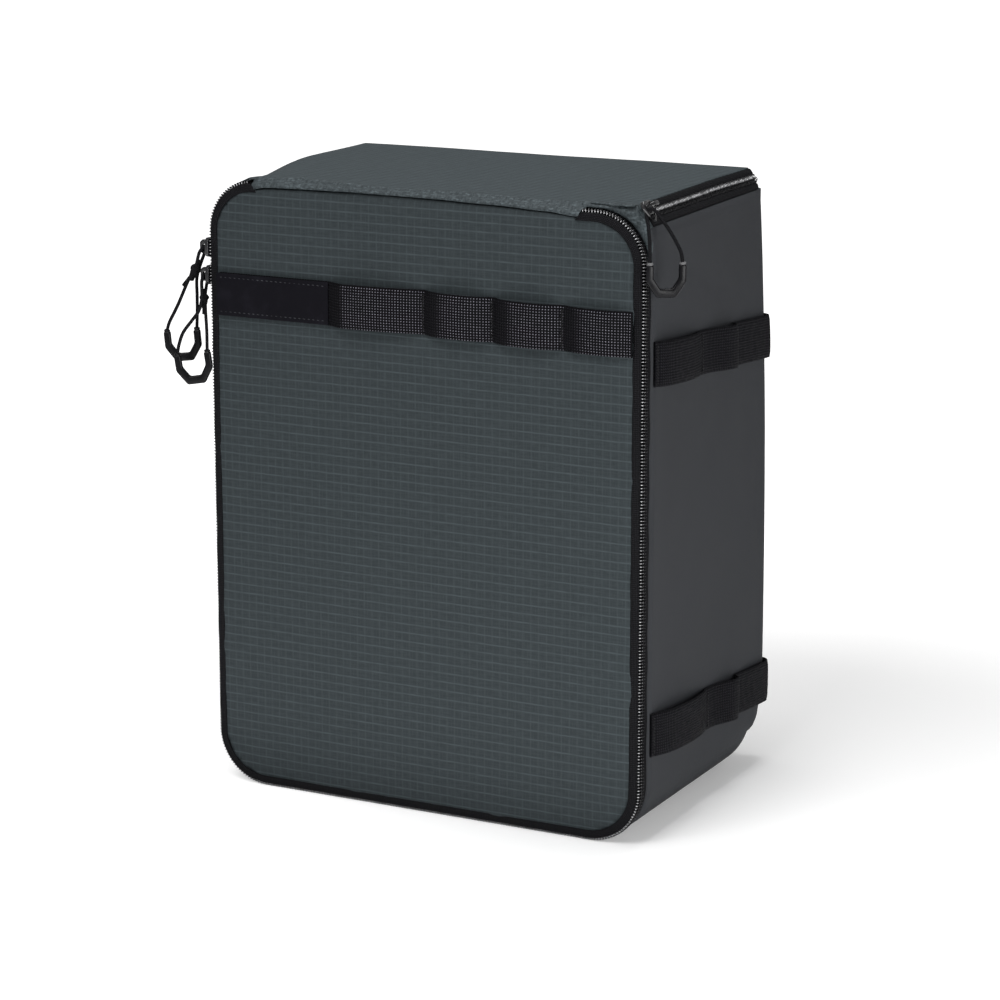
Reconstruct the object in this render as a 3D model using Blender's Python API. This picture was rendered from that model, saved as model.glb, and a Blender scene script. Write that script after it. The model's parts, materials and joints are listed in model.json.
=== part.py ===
"""Padded camera bag insert: an upright box of foam walls in cloth, with a front panel
that zips open and lifts about its top seam, a lid that zips open along its back, daisy
chain webbing, corded zip pulls, and padded shelves and dividers inside.

Metres, +Z up. The origin is at the middle of the base, and the front faces -Y.
"""
import math

import bmesh
import bpy
from mathutils import Vector

for old in list(bpy.data.objects):
    bpy.data.objects.remove(old, do_unlink=True)

# Overall size of the closed case
CASE_WIDTH = 0.275
CASE_DEPTH = 0.185
CASE_HEIGHT = 0.360
BACK_NARROWING = 0.006      # how much each side comes in from the front to the back

# Layers of every padded wall, from outside to inside
SKIN = 0.0012
FOAM = 0.009
LINING = 0.001
LAYER_GAP = 0.0003

# Roundings of the padded body
SIDE_BOTTOM_RADIUS = 0.033
BACK_BOTTOM_RADIUS = 0.030
BACK_UPRIGHT_RADIUS = 0.008
SMALLEST_RADIUS = 0.001
ROUND_STEPS = 5
OVERRUN = 0.004             # how far a cutting shape runs past what it cuts

# Front zip, a U that runs round the edge of the front panel
ZIP_FLOOR_GAP = 0.0002
ZIP_TOP_DROP = 0.0047
ZIP_CORNER_RADIUS = 0.032
ZIP_STEPS = 7
ZIP_LEFT_END_INSET = 0.0285     # from the case's side to the zip's end along the top
ZIP_RIGHT_END_INSET = 0.0395
COIL_ACROSS = 0.0024
COIL_THICK = 0.003
COIL_SET_BACK = 0.001
COIL_SIDES = 6
TAPE_THICK = 0.0007
TAPE_OUTER_INSET = 0.0015
TAPE_WIDTH = 0.0032
CASE_TAPE_THICK = 0.0012
SEAM_DROP = 0.0004          # top edge of the panel cloth below the zip's top line
PANEL_FOAM_INSET = 0.0027

# Hinge band along the front top edge, and its corner gussets
PANEL_HINGE_RISE = 0.0003   # panel hinge line above the zip's top line
BAND_LIFT = 0.0001          # underside of the band above the panel hinge line
BAND_TOP_RUN = 0.0067       # from the front face back to the band's top edge
BAND_THICK = 0.0012
SHOULDER_DROP = 0.0238      # from the zip's top line down to where the side wall steps forward
SHOULDER_RISE = 0.0035
WING_LENGTH = 0.0045
WING_OVERLAP = 0.0008

# Lid and the top zip, which lies on a sloping edge round the lid
SLOPE_RUN = 0.008
LID_CLEARANCE = 0.001
LID_FOAM_SET_BACK = 0.0007
LID_ZIP_SLIDER_GAP = 0.003  # between the resting slider and the start of the lid's half
TOP_TAPE_LID = 0.0031
TOP_TAPE_THICK = 0.001
TOP_COIL_RADIUS = 0.0014
TOP_COIL_SINK = 0.0005
TOP_TAPE_END_GAP = 0.0011
TOP_CORNER_STEPS = 3

# Webbing
WEBBING_WIDTH = 0.025
WEBBING_THICK = 0.0016
TACK_LENGTH = 0.004
FRONT_LOOP_GAP = 0.0055
SIDE_LOOP_GAP = 0.0054
LOOP_STEPS = 8
FRONT_WEBBING_LEFT_INSET = 0.0085
FRONT_WEBBING_RIGHT_INSET = 0.006
FRONT_WEBBING_DROP = 0.0675     # from the top of the case to the webbing's middle
FRONT_TACK_SHARES = (-0.3964, 0.0269, 0.3404, 0.6509, 0.9418)   # of half the width
PATCH_LEFT_INSET = 0.007
PATCH_RIGHT_SHARE = -0.4109     # of half the width
PATCH_THICK = 0.0014
UPPER_STRAP_DROP = 0.086    # from the top of the case to the strap's middle at the front
LOWER_STRAP_RISE = 0.0635   # from the base to the strap's middle at the front
STRAP_DROP = 0.013          # fall of each side strap from the front to the back
UPPER_TACK_SHARES = (0.0838, 0.4297, 0.7)       # of the depth, from the front
LOWER_TACK_SHARES = (0.0838, 0.4946, 0.727)
STRAP_ON_BACK = 0.032       # how far round the back edge a side strap reaches
STRAP_LANDING = 0.018       # length sewn flat on the back

# Inside
SHELF_THICK = 0.010
SHELF_HEIGHT_SHARES = (0.3333, 0.6389)          # of the case's height
SHELF_FRONT_GAP = 0.0015
DIVIDER_THICK = 0.008
DIVIDER_PLACE_SHARES = (0, -0.1455, 0.2182)     # of half the width
POCKET_SIDE_INSET = 0.0275
POCKET_HEIGHT_SHARE = 0.4167                    # of the case's height
POCKET_BOTTOM = 0.040
POCKET_THICK = 0.0008
POCKET_RADIUS = 0.012

# Sliders and their pulls
SLIDER_WIDTH = 0.008
SLIDER_LENGTH = 0.011
SLIDER_THICK = 0.0022
SLIDER_CHAMFER = 0.0018
ARCH_LENGTH = 0.008
ARCH_HEIGHT = 0.005
ARCH_WIDTH = 0.0022
ARCH_BAR = 0.0016
SLIDER_SINK = 0.0002        # arch foot sunk into the plate
UPPER_SLIDER_DROP = 0.0043  # from the foot of the zip's upper corner to the slider's middle
SLIDER_SPACING = 0.016      # between the middles of the two front sliders
TOP_SLIDER_SET_BACK = 0.0145
TOP_SLIDER_ALONG_SLOPE = 0.0035
CORD_DIAMETER = 0.002
GRIP_SPAN = 0.0178          # between the middles of the two arms
GRIP_BAR = 0.004
GRIP_THICK = 0.0036
GRIP_DEPTH = 0.018
GRIP_ARM = 0.0095
GRIP_FOOT = 0.0052          # half the flat foot of the grip
GRIP_FOOT_BAR = 0.0048
BAIL_WIRE = 0.0014
BAIL_WIDTH = 0.0105
BAIL_REACH = 0.0105
BAIL_TOP_BAR = 0.0056       # length of the wire that lies in the arch
BAIL_TURN = 25              # degrees that the bail is turned down the slope
BAIL_SIDES = 6
FRONT_GRIP_FACING = 20      # degrees that a grip's flat face is turned about the upright
TOP_GRIP_FACING = 35
UPPER_GRIP_LEAN = 5         # degrees that a grip is tipped in its own plane
LOWER_GRIP_LEAN = 8
TOP_GRIP_LEAN = 0
CORD_ROUND_STEPS = 2
ROUTE_STEPS = 12            # points worked out between two places of a cord's route
SHADING_ANGLE = 40          # degrees; sharper edges than this are shaded sharp

# Places that follow from the sizes above
HALF_WIDTH = CASE_WIDTH / 2
FRONT_Y = -CASE_DEPTH / 2
BACK_Y = CASE_DEPTH / 2
FOAM_OUT = SKIN + LAYER_GAP
FOAM_IN = FOAM_OUT + FOAM
LINING_OUT = FOAM_IN + LAYER_GAP
LINING_IN = LINING_OUT + LINING
SHELL_FRONT = FRONT_Y + LINING_IN
INNER_FRONT = SHELL_FRONT + LAYER_GAP
WALL_TOP = CASE_HEIGHT - LINING_IN - LAYER_GAP
INNER_TOP = WALL_TOP - LAYER_GAP
ZIP_TOP = CASE_HEIGHT - ZIP_TOP_DROP
PANEL_HINGE_Z = ZIP_TOP + PANEL_HINGE_RISE
BAND_TOP_Y = FRONT_Y + BAND_TOP_RUN
LID_FRONT = BAND_TOP_Y + BAND_THICK + LAYER_GAP
SLOPE_RISE = CASE_HEIGHT - WALL_TOP
SLOPE_LENGTH = math.hypot(SLOPE_RUN, SLOPE_RISE)
ZIP_END_LEFT = ZIP_LEFT_END_INSET - HALF_WIDTH
ZIP_END_RIGHT = HALF_WIDTH - ZIP_RIGHT_END_INSET
SHOULDER_LOW = ZIP_TOP - SHOULDER_DROP
PANEL_COIL_Y = FRONT_Y + COIL_SET_BACK + COIL_THICK / 2
CASE_COIL_Y = PANEL_COIL_Y + COIL_THICK + LAYER_GAP
ZIP_MIDDLE_Y = (PANEL_COIL_Y + CASE_COIL_Y) / 2
ARCH_HOLE_OUT = LAYER_GAP + SLIDER_THICK + (ARCH_HEIGHT - ARCH_BAR) / 2
UPPER_SLIDER_HEIGHT = ZIP_TOP - ZIP_CORNER_RADIUS - UPPER_SLIDER_DROP
LOWER_SLIDER_HEIGHT = UPPER_SLIDER_HEIGHT - SLIDER_SPACING
TOP_SLIDER_Y = FRONT_Y + TOP_SLIDER_SET_BACK
FRONT_WEBBING_MID = CASE_HEIGHT - FRONT_WEBBING_DROP
DIVIDER_PLACES = [HALF_WIDTH * share for share in DIVIDER_PLACE_SHARES]

# Cloth and plastic finishes: colour, roughness, metallic
RIPSTOP = ((0.045, 0.062, 0.066), 0.55, 0.0)
SIDE_CLOTH = ((0.050, 0.053, 0.055), 0.6, 0.0)
FOAM_GREY = ((0.30, 0.30, 0.31), 0.9, 0.0)
LINING_GREY = ((0.16, 0.17, 0.18), 0.9, 0.0)
TAPE_BLACK = ((0.012, 0.012, 0.013), 0.75, 0.0)
COIL_BLACK = ((0.010, 0.010, 0.011), 0.3, 0.0)
WEBBING_BLACK = ((0.015, 0.015, 0.017), 0.7, 0.0)
PATCH_BLACK = ((0.011, 0.011, 0.012), 0.6, 0.0)
METAL_BLACK = ((0.018, 0.018, 0.019), 0.3, 0.8)
GRIP_BLACK = ((0.014, 0.014, 0.015), 0.45, 0.0)
CORD_BLACK = ((0.013, 0.013, 0.014), 0.8, 0.0)
MESH_BLACK = ((0.02, 0.02, 0.022), 0.8, 0.0)


def narrowed(x, y):
    """Sideways place of a point after the case draws in towards its back."""
    return x * (1 - BACK_NARROWING / HALF_WIDTH * (y - FRONT_Y) / CASE_DEPTH)


def paint(item, look):
    """Give a piece a material of its own."""
    colour, roughness, metallic = look
    material = bpy.data.materials.new(item.name)
    material.use_nodes = True
    shader = material.node_tree.nodes["Principled BSDF"]
    shader.inputs["Base Color"].default_value = (*colour, 1)
    shader.inputs["Roughness"].default_value = roughness
    shader.inputs["Metallic"].default_value = metallic
    item.data.materials.clear()
    item.data.materials.append(material)


def add_object(name, work):
    """Put a finished bmesh in the scene as an object."""
    bmesh.ops.recalc_face_normals(work, faces=work.faces)
    mesh = bpy.data.meshes.new(name)
    work.to_mesh(mesh)
    work.free()
    item = bpy.data.objects.new(name, mesh)
    bpy.context.collection.objects.link(item)
    return item


def dress(item, look, draw_in=True, round_piece=False):
    """Draw a piece in towards the back of the case, shade it and paint it."""
    if draw_in:
        for vertex in item.data.vertices:
            vertex.co.x = narrowed(vertex.co.x, vertex.co.y)
    if round_piece:
        item.data.shade_smooth()
        item.data.set_sharp_from_angle(angle=math.radians(SHADING_ANGLE))
    paint(item, look)
    return item


def prism(name, outline, axis, low, high):
    """Closed solid: a flat outline pushed along X, Y or Z from low to high."""
    spot = {"X": lambda p, d: (d, p[0], p[1]),
            "Y": lambda p, d: (p[0], d, p[1]),
            "Z": lambda p, d: (p[0], p[1], d)}[axis]
    work = bmesh.new()
    near = [work.verts.new(spot(point, low)) for point in outline]
    far = [work.verts.new(spot(point, high)) for point in outline]
    count = len(outline)
    work.faces.new(near)
    work.faces.new(far)
    for i in range(count):
        j = (i + 1) % count
        work.faces.new((near[i], near[j], far[j], far[i]))
    return add_object(name, work)


def box(name, low, high):
    """Closed box between two corners."""
    outline = [(low[0], low[1]), (high[0], low[1]), (high[0], high[1]), (low[0], high[1])]
    return prism(name, outline, "Z", low[2], high[2])


def loft(name, rings, ring_closed=False):
    """Closed solid through a row of rings, capped at both ends unless it closes on itself."""
    work = bmesh.new()
    rows = [[work.verts.new(point) for point in ring] for ring in rings]
    pairs = list(zip(rows[:-1], rows[1:]))
    if ring_closed:
        pairs.append((rows[-1], rows[0]))
    count = len(rings[0])
    for row, following in pairs:
        for i in range(count):
            j = (i + 1) % count
            work.faces.new((row[i], row[j], following[j], following[i]))
    if not ring_closed:
        work.faces.new(rows[0])
        work.faces.new(rows[-1])
    return add_object(name, work)


def carve(base, steps):
    """Apply Boolean steps, each an operation and a tool, and drop the tools."""
    for operation, tool in steps:
        cut = base.modifiers.new(operation.lower(), "BOOLEAN")
        cut.operation = operation
        cut.solver = "EXACT"
        cut.object = tool
    graph = bpy.context.evaluated_depsgraph_get()
    mesh = bpy.data.meshes.new_from_object(base.evaluated_get(graph))
    base.modifiers.clear()
    base.data = mesh
    for operation, tool in steps:
        bpy.data.objects.remove(tool, do_unlink=True)
    return base


def arc(centre, radius, start, stop, steps):
    """Points of an arc in a plane, angles in degrees, both ends included."""
    points = []
    for i in range(steps + 1):
        angle = math.radians(start + (stop - start) * i / steps)
        points.append((centre[0] + radius * math.cos(angle), centre[1] + radius * math.sin(angle)))
    return points


def body_block(name, inset, front, top):
    """The case's rounded body, drawn in by inset on its sides, base and back."""
    half = HALF_WIDTH - inset
    back = BACK_Y - inset
    side_radius = max(SIDE_BOTTOM_RADIUS - inset, SMALLEST_RADIUS)
    back_radius = max(BACK_BOTTOM_RADIUS - inset, SMALLEST_RADIUS)
    upright_radius = max(BACK_UPRIGHT_RADIUS - inset, SMALLEST_RADIUS)
    across = [(half, top), (-half, top)]
    across += arc((-half + side_radius, inset + side_radius), side_radius, 180, 270, ROUND_STEPS)
    across += arc((half - side_radius, inset + side_radius), side_radius, 270, 360, ROUND_STEPS)
    body = prism(name, across, "Y", front, back + OVERRUN)
    side = [(front - OVERRUN, top + OVERRUN), (front - OVERRUN, inset - OVERRUN)]
    side.append((back - back_radius, inset - OVERRUN))
    side += arc((back - back_radius, inset + back_radius), back_radius, 270, 360, ROUND_STEPS)
    side.append((back, top + OVERRUN))
    side_tool = prism(name + "_side", side, "X", -half - OVERRUN, half + OVERRUN)
    plan = [(-half - OVERRUN, front - OVERRUN), (half + OVERRUN, front - OVERRUN)]
    plan.append((half + OVERRUN, back - upright_radius))
    plan += arc((half - upright_radius, back - upright_radius), upright_radius, 0, 90, TOP_CORNER_STEPS)
    plan += [(half - upright_radius, back + 2 * OVERRUN), (upright_radius - half, back + 2 * OVERRUN)]
    plan += arc((upright_radius - half, back - upright_radius), upright_radius, 90, 180, TOP_CORNER_STEPS)
    plan.append((-half - OVERRUN, back - upright_radius))
    plan_tool = prism(name + "_plan", plan, "Z", inset - 2 * OVERRUN, top + 2 * OVERRUN)
    return carve(body, [("INTERSECT", side_tool), ("INTERSECT", plan_tool)])


def board_plan(half, front, back, radius):
    """Plan outline of a board: square in front, rounded at its two back corners."""
    plan = [(-half, front), (half, front)]
    plan += arc((half - radius, back - radius), radius, 0, 90, TOP_CORNER_STEPS)
    plan += arc((radius - half, back - radius), radius, 90, 180, TOP_CORNER_STEPS)
    return plan


def build_shell():
    """Outer cloth of the sides, base and back, open at the front and the top."""
    shell = body_block("outer_shell", 0, LID_FRONT, WALL_TOP)
    hollow = body_block("hollow", SKIN, LID_FRONT - OVERRUN, WALL_TOP + OVERRUN)
    notch_outline = [(LID_FRONT - OVERRUN, -OVERRUN), (SHELL_FRONT, -OVERRUN), (SHELL_FRONT, SHOULDER_LOW),
                     (LID_FRONT, SHOULDER_LOW + SHOULDER_RISE),
                     (LID_FRONT - OVERRUN, SHOULDER_LOW + SHOULDER_RISE)]
    notch = prism("notch", notch_outline, "X", -CASE_WIDTH, CASE_WIDTH)
    carve(shell, [("DIFFERENCE", hollow), ("DIFFERENCE", notch)])
    return dress(shell, SIDE_CLOTH, round_piece=True)


def build_lining():
    """Inner cloth, one pocket between the foam boards and the bays."""
    lining = body_block("lining", LINING_OUT, INNER_FRONT, INNER_TOP)
    hollow = body_block("hollow", LINING_IN, INNER_FRONT - OVERRUN, INNER_TOP + OVERRUN)
    carve(lining, [("DIFFERENCE", hollow)])
    return dress(lining, LINING_GREY, round_piece=True)


def build_foam():
    """Foam: a moulded base tray, two side boards and a back board."""
    tray_top = SIDE_BOTTOM_RADIUS
    board_low = tray_top + LAYER_GAP
    tray = body_block("foam_base", FOAM_OUT, INNER_FRONT, tray_top)
    hollow = body_block("hollow", FOAM_IN, INNER_FRONT - OVERRUN, tray_top + OVERRUN)
    carve(tray, [("DIFFERENCE", hollow)])
    dress(tray, FOAM_GREY, round_piece=True)
    inner = HALF_WIDTH - FOAM_IN
    outer = HALF_WIDTH - FOAM_OUT
    side_back = BACK_Y - FOAM_IN - LAYER_GAP
    for name, near, far in (("foam_left", -outer, -inner), ("foam_right", inner, outer)):
        board = box(name, (near, INNER_FRONT, board_low), (far, side_back, INNER_TOP))
        dress(board, FOAM_GREY)
    radius = max(BACK_UPRIGHT_RADIUS - FOAM_OUT, SMALLEST_RADIUS)
    plan = board_plan(outer, BACK_Y - FOAM_IN, BACK_Y - FOAM_OUT, radius)
    dress(prism("foam_back", plan, "Z", board_low, INNER_TOP), FOAM_GREY)


def zip_corner(side):
    """Middle of the front zip's upper corner on one side, -1 left or 1 right."""
    return side * (HALF_WIDTH - ZIP_CORNER_RADIUS), ZIP_TOP - ZIP_CORNER_RADIUS


def front_zip_stations():
    """Places and outward directions along the front zip, from its right end to its left end."""
    right, high = zip_corner(1)
    left = zip_corner(-1)[0]
    low = ZIP_FLOOR_GAP + ZIP_CORNER_RADIUS
    right_turn = math.degrees(math.asin(max(0, ZIP_END_RIGHT - right) / ZIP_CORNER_RADIUS))
    left_turn = math.degrees(math.asin(max(0, left - ZIP_END_LEFT) / ZIP_CORNER_RADIUS))
    corners = ((right, high, 90 - right_turn, 0), (right, low, 0, -90),
               (left, low, -90, -180), (left, high, -180, left_turn - 270))
    stations = []
    if ZIP_END_RIGHT < right:
        stations.append(((ZIP_END_RIGHT, ZIP_TOP), (0, 1)))
    for x, z, start, stop in corners:
        for direction in arc((0, 0), 1, start, stop, ZIP_STEPS):
            spot = (x + ZIP_CORNER_RADIUS * direction[0], z + ZIP_CORNER_RADIUS * direction[1])
            stations.append((spot, direction))
    if ZIP_END_LEFT > left:
        stations.append(((ZIP_END_LEFT, ZIP_TOP), (0, 1)))
    return stations


def inset_point(station, inset, along=0):
    """A point inwards from a zip station, and on along the zip if asked."""
    (x, z), (out_x, out_z) = station
    return (x - out_x * inset + out_z * along, z - out_z * inset - out_x * along)


def zip_strip(name, section, look, round_piece=False):
    """A strip along the front zip: section points are inset and depth."""
    rings = []
    for station in front_zip_stations():
        ring = []
        for inset, y in section:
            x, z = inset_point(station, inset)
            ring.append((x, y, z))
        rings.append(ring)
    return dress(loft(name, rings), look, round_piece=round_piece)


def oval(middle, half_across, half_thick, sides):
    """Points of an oval section."""
    points = []
    for i in range(sides):
        angle = math.tau * i / sides
        points.append((middle[0] + half_across * math.cos(angle), middle[1] + half_thick * math.sin(angle)))
    return points


def build_front_zip():
    """Both halves of the front zip: a coil and a tape on the panel, and the same on the case."""
    tape_in = TAPE_OUTER_INSET + TAPE_WIDTH
    tape_back = FRONT_Y + TAPE_THICK
    tape = [(TAPE_OUTER_INSET, FRONT_Y), (tape_in, FRONT_Y), (tape_in, tape_back), (TAPE_OUTER_INSET, tape_back)]
    panel_tape = zip_strip("front_zip_tape_panel", tape, TAPE_BLACK)
    half = COIL_ACROSS / 2
    coil = oval((half, PANEL_COIL_Y), half, COIL_THICK / 2, COIL_SIDES)
    panel_coil = zip_strip("front_zip_coil_panel", coil, COIL_BLACK, round_piece=True)
    coil = oval((half, CASE_COIL_Y), half, COIL_THICK / 2, COIL_SIDES)
    zip_strip("front_zip_coil_case", coil, COIL_BLACK, round_piece=True)
    near = CASE_COIL_Y + COIL_THICK / 2 + LAYER_GAP
    far = SHELL_FRONT - LAYER_GAP
    outer = LAYER_GAP
    inner = LAYER_GAP + CASE_TAPE_THICK
    zip_strip("front_zip_tape_case", [(outer, near), (inner, near), (inner, far), (outer, far)], TAPE_BLACK)
    return [panel_tape, panel_coil]


def panel_outline(inset):
    """Closed outline of the front panel, drawn in by inset from the zip's outer line."""
    radius = ZIP_CORNER_RADIUS - inset
    right, high = zip_corner(1)
    left = zip_corner(-1)[0]
    low = ZIP_FLOOR_GAP + ZIP_CORNER_RADIUS
    outline = arc((right, high), radius, 90, 0, ZIP_STEPS)
    outline += arc((right, low), radius, 0, -90, ZIP_STEPS)
    outline += arc((left, low), radius, -90, -180, ZIP_STEPS)
    outline += arc((left, high), radius, -180, -270, ZIP_STEPS)
    return outline


def build_front_panel():
    """Front panel: cloth with a tab up to its top seam, foam board, lining and mesh pocket."""
    inset = TAPE_OUTER_INSET + TAPE_WIDTH + LAYER_GAP
    stations = front_zip_stations()
    first = stations[0]
    last = stations[-1]
    outline = [inset_point(first, SEAM_DROP, -LAYER_GAP), inset_point(first, inset, -LAYER_GAP)]
    outline += [inset_point(station, inset) for station in stations]
    outline += [inset_point(last, inset, LAYER_GAP), inset_point(last, SEAM_DROP, LAYER_GAP)]
    cover = dress(prism("front_panel_cover", outline, "Y", FRONT_Y, FRONT_Y + SKIN), RIPSTOP)
    board = prism("front_panel_foam", panel_outline(PANEL_FOAM_INSET), "Y", FRONT_Y + FOAM_OUT, FRONT_Y + FOAM_IN)
    dress(board, FOAM_GREY)
    lining = prism("front_panel_lining", panel_outline(PANEL_FOAM_INSET), "Y",
                   FRONT_Y + LINING_OUT, FRONT_Y + LINING_IN)
    dress(lining, LINING_GREY)
    half = HALF_WIDTH - POCKET_SIDE_INSET
    r = POCKET_RADIUS
    top = POCKET_BOTTOM + POCKET_HEIGHT_SHARE * CASE_HEIGHT
    outline = arc((half - r, POCKET_BOTTOM + r), r, 0, -90, TOP_CORNER_STEPS)
    outline += arc((r - half, POCKET_BOTTOM + r), r, -90, -180, TOP_CORNER_STEPS)
    outline += [(-half, top), (half, top)]
    near = FRONT_Y + LINING_IN + LAYER_GAP
    pocket = dress(prism("mesh_pocket", outline, "Y", near, near + POCKET_THICK), MESH_BLACK)
    return [cover, board, lining, pocket]


def slope_point(base, out, along, sink):
    """A point on the sloping edge: along it from the lid's edge, and sunk below it."""
    run = SLOPE_RUN / SLOPE_LENGTH
    rise = SLOPE_RISE / SLOPE_LENGTH
    step = along * run - sink * rise
    height = CASE_HEIGHT - along * rise - sink * run
    return (base[0] + out[0] * step, base[1] + out[1] * step, height)


def top_zip_stations(right_start, left_start):
    """Places on the lid's edge line and outward directions, right side first, round the back."""
    half = HALF_WIDTH - SLOPE_RUN
    back = BACK_Y - SLOPE_RUN
    radius = max(BACK_UPRIGHT_RADIUS - SLOPE_RUN, SMALLEST_RADIUS)
    stations = [((half, right_start), (1, 0))]
    for side, start, stop in ((1, 0, 90), (-1, 90, 180)):
        centre = (side * (half - radius), back - radius)
        for direction in arc((0, 0), 1, start, stop, TOP_CORNER_STEPS):
            spot = (centre[0] + radius * direction[0], centre[1] + radius * direction[1])
            stations.append((spot, direction))
    stations.append(((-half, left_start), (-1, 0)))
    return stations


def top_strip(name, section, starts, look, round_piece=False):
    """A strip along the top zip: section points are along and below the slope."""
    rings = []
    for spot, out in top_zip_stations(*starts):
        rings.append([slope_point(spot, out, along, sink) for along, sink in section])
    return dress(loft(name, rings), look, round_piece=round_piece)


def tape_section(start, stop):
    """Section of a top zip tape that lies in the slope."""
    return [(start, 0), (stop, 0), (stop, TOP_TAPE_THICK), (start, TOP_TAPE_THICK)]


def build_top_zip():
    """Both halves of the top zip; the lid half starts clear of the resting slider."""
    case_start = BAND_TOP_Y + BAND_THICK + WING_LENGTH + LAYER_GAP
    lid_starts = (TOP_SLIDER_Y + SLIDER_LENGTH / 2 + LID_ZIP_SLIDER_GAP, case_start)
    case_starts = (case_start, case_start)
    tape_end = LAYER_GAP + TOP_TAPE_LID
    lid_tape = top_strip("top_zip_tape_lid", tape_section(LAYER_GAP, tape_end), lid_starts, TAPE_BLACK)
    lid_mid = tape_end + LAYER_GAP + TOP_COIL_RADIUS
    coil = oval((lid_mid, TOP_COIL_SINK), TOP_COIL_RADIUS, TOP_COIL_RADIUS, COIL_SIDES)
    lid_coil = top_strip("top_zip_coil_lid", coil, lid_starts, COIL_BLACK, round_piece=True)
    case_mid = lid_mid + 2 * TOP_COIL_RADIUS + LAYER_GAP
    coil = oval((case_mid, TOP_COIL_SINK), TOP_COIL_RADIUS, TOP_COIL_RADIUS, COIL_SIDES)
    top_strip("top_zip_coil_case", coil, case_starts, COIL_BLACK, round_piece=True)
    case_tape = tape_section(case_mid + TOP_COIL_RADIUS + LAYER_GAP, SLOPE_LENGTH - TOP_TAPE_END_GAP)
    top_strip("top_zip_tape_case", case_tape, case_starts, TAPE_BLACK)
    return [lid_tape, lid_coil]


def lid_plan(front):
    """Plan outline of the lid's layers from a given front edge."""
    inset = SLOPE_RUN + LID_CLEARANCE
    return board_plan(HALF_WIDTH - inset, front, BACK_Y - inset, SMALLEST_RADIUS)


def build_lid():
    """Top lid: cloth, foam board and lining."""
    top = CASE_HEIGHT
    board_front = INNER_FRONT + LID_FOAM_SET_BACK
    cover = prism("lid_cover", lid_plan(LID_FRONT), "Z", top - SKIN, top)
    board = prism("lid_foam", lid_plan(board_front), "Z", top - FOAM_IN, top - FOAM_OUT)
    lining = prism("lid_lining", lid_plan(board_front), "Z", top - LINING_IN, top - LINING_OUT)
    return [dress(cover, RIPSTOP), dress(board, FOAM_GREY), dress(lining, LINING_GREY)]


def build_hinge_band():
    """Cloth strip along the front top edge that carries the panel's and the lid's hinge seams."""
    low = PANEL_HINGE_Z + BAND_LIFT
    rise = CASE_HEIGHT - low
    length = math.hypot(BAND_TOP_RUN, rise)
    upright = BAND_THICK * length / BAND_TOP_RUN    # the strip's thickness measured straight down
    level = BAND_THICK * length / rise              # the same measured straight back
    back_edge = BAND_TOP_Y + BAND_THICK
    inner_z = CASE_HEIGHT - upright + BAND_THICK * rise / BAND_TOP_RUN
    section = [(FRONT_Y + BAND_LIFT, low), (BAND_TOP_Y, CASE_HEIGHT), (back_edge, CASE_HEIGHT),
               (back_edge, inner_z), (FRONT_Y + BAND_LIFT + level, low)]
    band = prism("hinge_band", section, "X", ZIP_END_LEFT + LAYER_GAP, ZIP_END_RIGHT - LAYER_GAP)
    dress(band, RIPSTOP)


def build_gusset(name, side):
    """Cloth between the zip's rounded corner and the box's corner, with a wing to the top zip."""
    end = ZIP_END_RIGHT if side > 0 else -ZIP_END_LEFT
    corner = abs(zip_corner(side)[0])
    radius = ZIP_CORNER_RADIUS + LAYER_GAP
    centre_z = ZIP_TOP - ZIP_CORNER_RADIUS
    start = math.degrees(math.acos(max(0, end - corner) / radius))
    stop = math.degrees(math.acos(ZIP_CORNER_RADIUS / radius))
    outline = [(end + LAYER_GAP, CASE_HEIGHT)]
    if end < corner:
        outline.append((end + LAYER_GAP, ZIP_TOP + LAYER_GAP))
    outline += arc((corner, centre_z), radius, start, stop, ZIP_STEPS)
    outline += [(HALF_WIDTH, WALL_TOP), (HALF_WIDTH - SLOPE_RUN, CASE_HEIGHT)]
    if end > corner:
        outline[0] = (outline[1][0], CASE_HEIGHT)
    outline = [(side * x, z) for x, z in outline]
    back = BAND_TOP_Y + BAND_THICK
    plate = prism(name, outline, "Y", BAND_TOP_Y, back)
    edge = side * (HALF_WIDTH - SLOPE_RUN)
    wing_stop = SLOPE_LENGTH - TOP_TAPE_END_GAP
    rings = []
    for y in (back - WING_OVERLAP, back + WING_LENGTH):
        corners = tape_section(LAYER_GAP, wing_stop)
        rings.append([slope_point((edge, y), (side, 0), along, sink) for along, sink in corners])
    carve(plate, [("UNION", loft(name + "_wing", rings))])
    return dress(plate, RIPSTOP)


def strap_loop(start, stop, gap, steps):
    """Distances along and off the wall for one loop between two tacks."""
    points = []
    for i in range(1, steps):
        share = i / steps
        lift = 1 - (2 * share - 1) ** 4
        points.append((start + (stop - start) * share, gap * lift))
    return points


def chained_loops(tacks, gap):
    """Distances along and off the wall for webbing tacked down at each given place."""
    half = TACK_LENGTH / 2
    points = []
    for here, following in zip(tacks[:-1], tacks[1:]):
        points += [(here - half, 0), (here + half, 0)]
        points += strap_loop(here + half, following - half, gap, LOOP_STEPS)
    points += [(tacks[-1] - half, 0), (tacks[-1] + half, 0)]
    return points


def webbing(name, path, middle):
    """Flat webbing along a path in plan; middle gives its mid height at a point."""
    rings = []
    for i, (x, y) in enumerate(path):
        before = Vector(path[max(i - 1, 0)])
        after = Vector(path[min(i + 1, len(path) - 1)])
        direction = (after - before).normalized()
        out = Vector((direction.y, -direction.x)) * WEBBING_THICK / 2
        mid = middle(x, y)
        low = mid - WEBBING_WIDTH / 2
        high = mid + WEBBING_WIDTH / 2
        rings.append([(x + out.x, y + out.y, low), (x + out.x, y + out.y, high),
                      (x - out.x, y - out.y, high), (x - out.x, y - out.y, low)])
    return dress(loft(name, rings), WEBBING_BLACK, round_piece=True)


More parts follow.
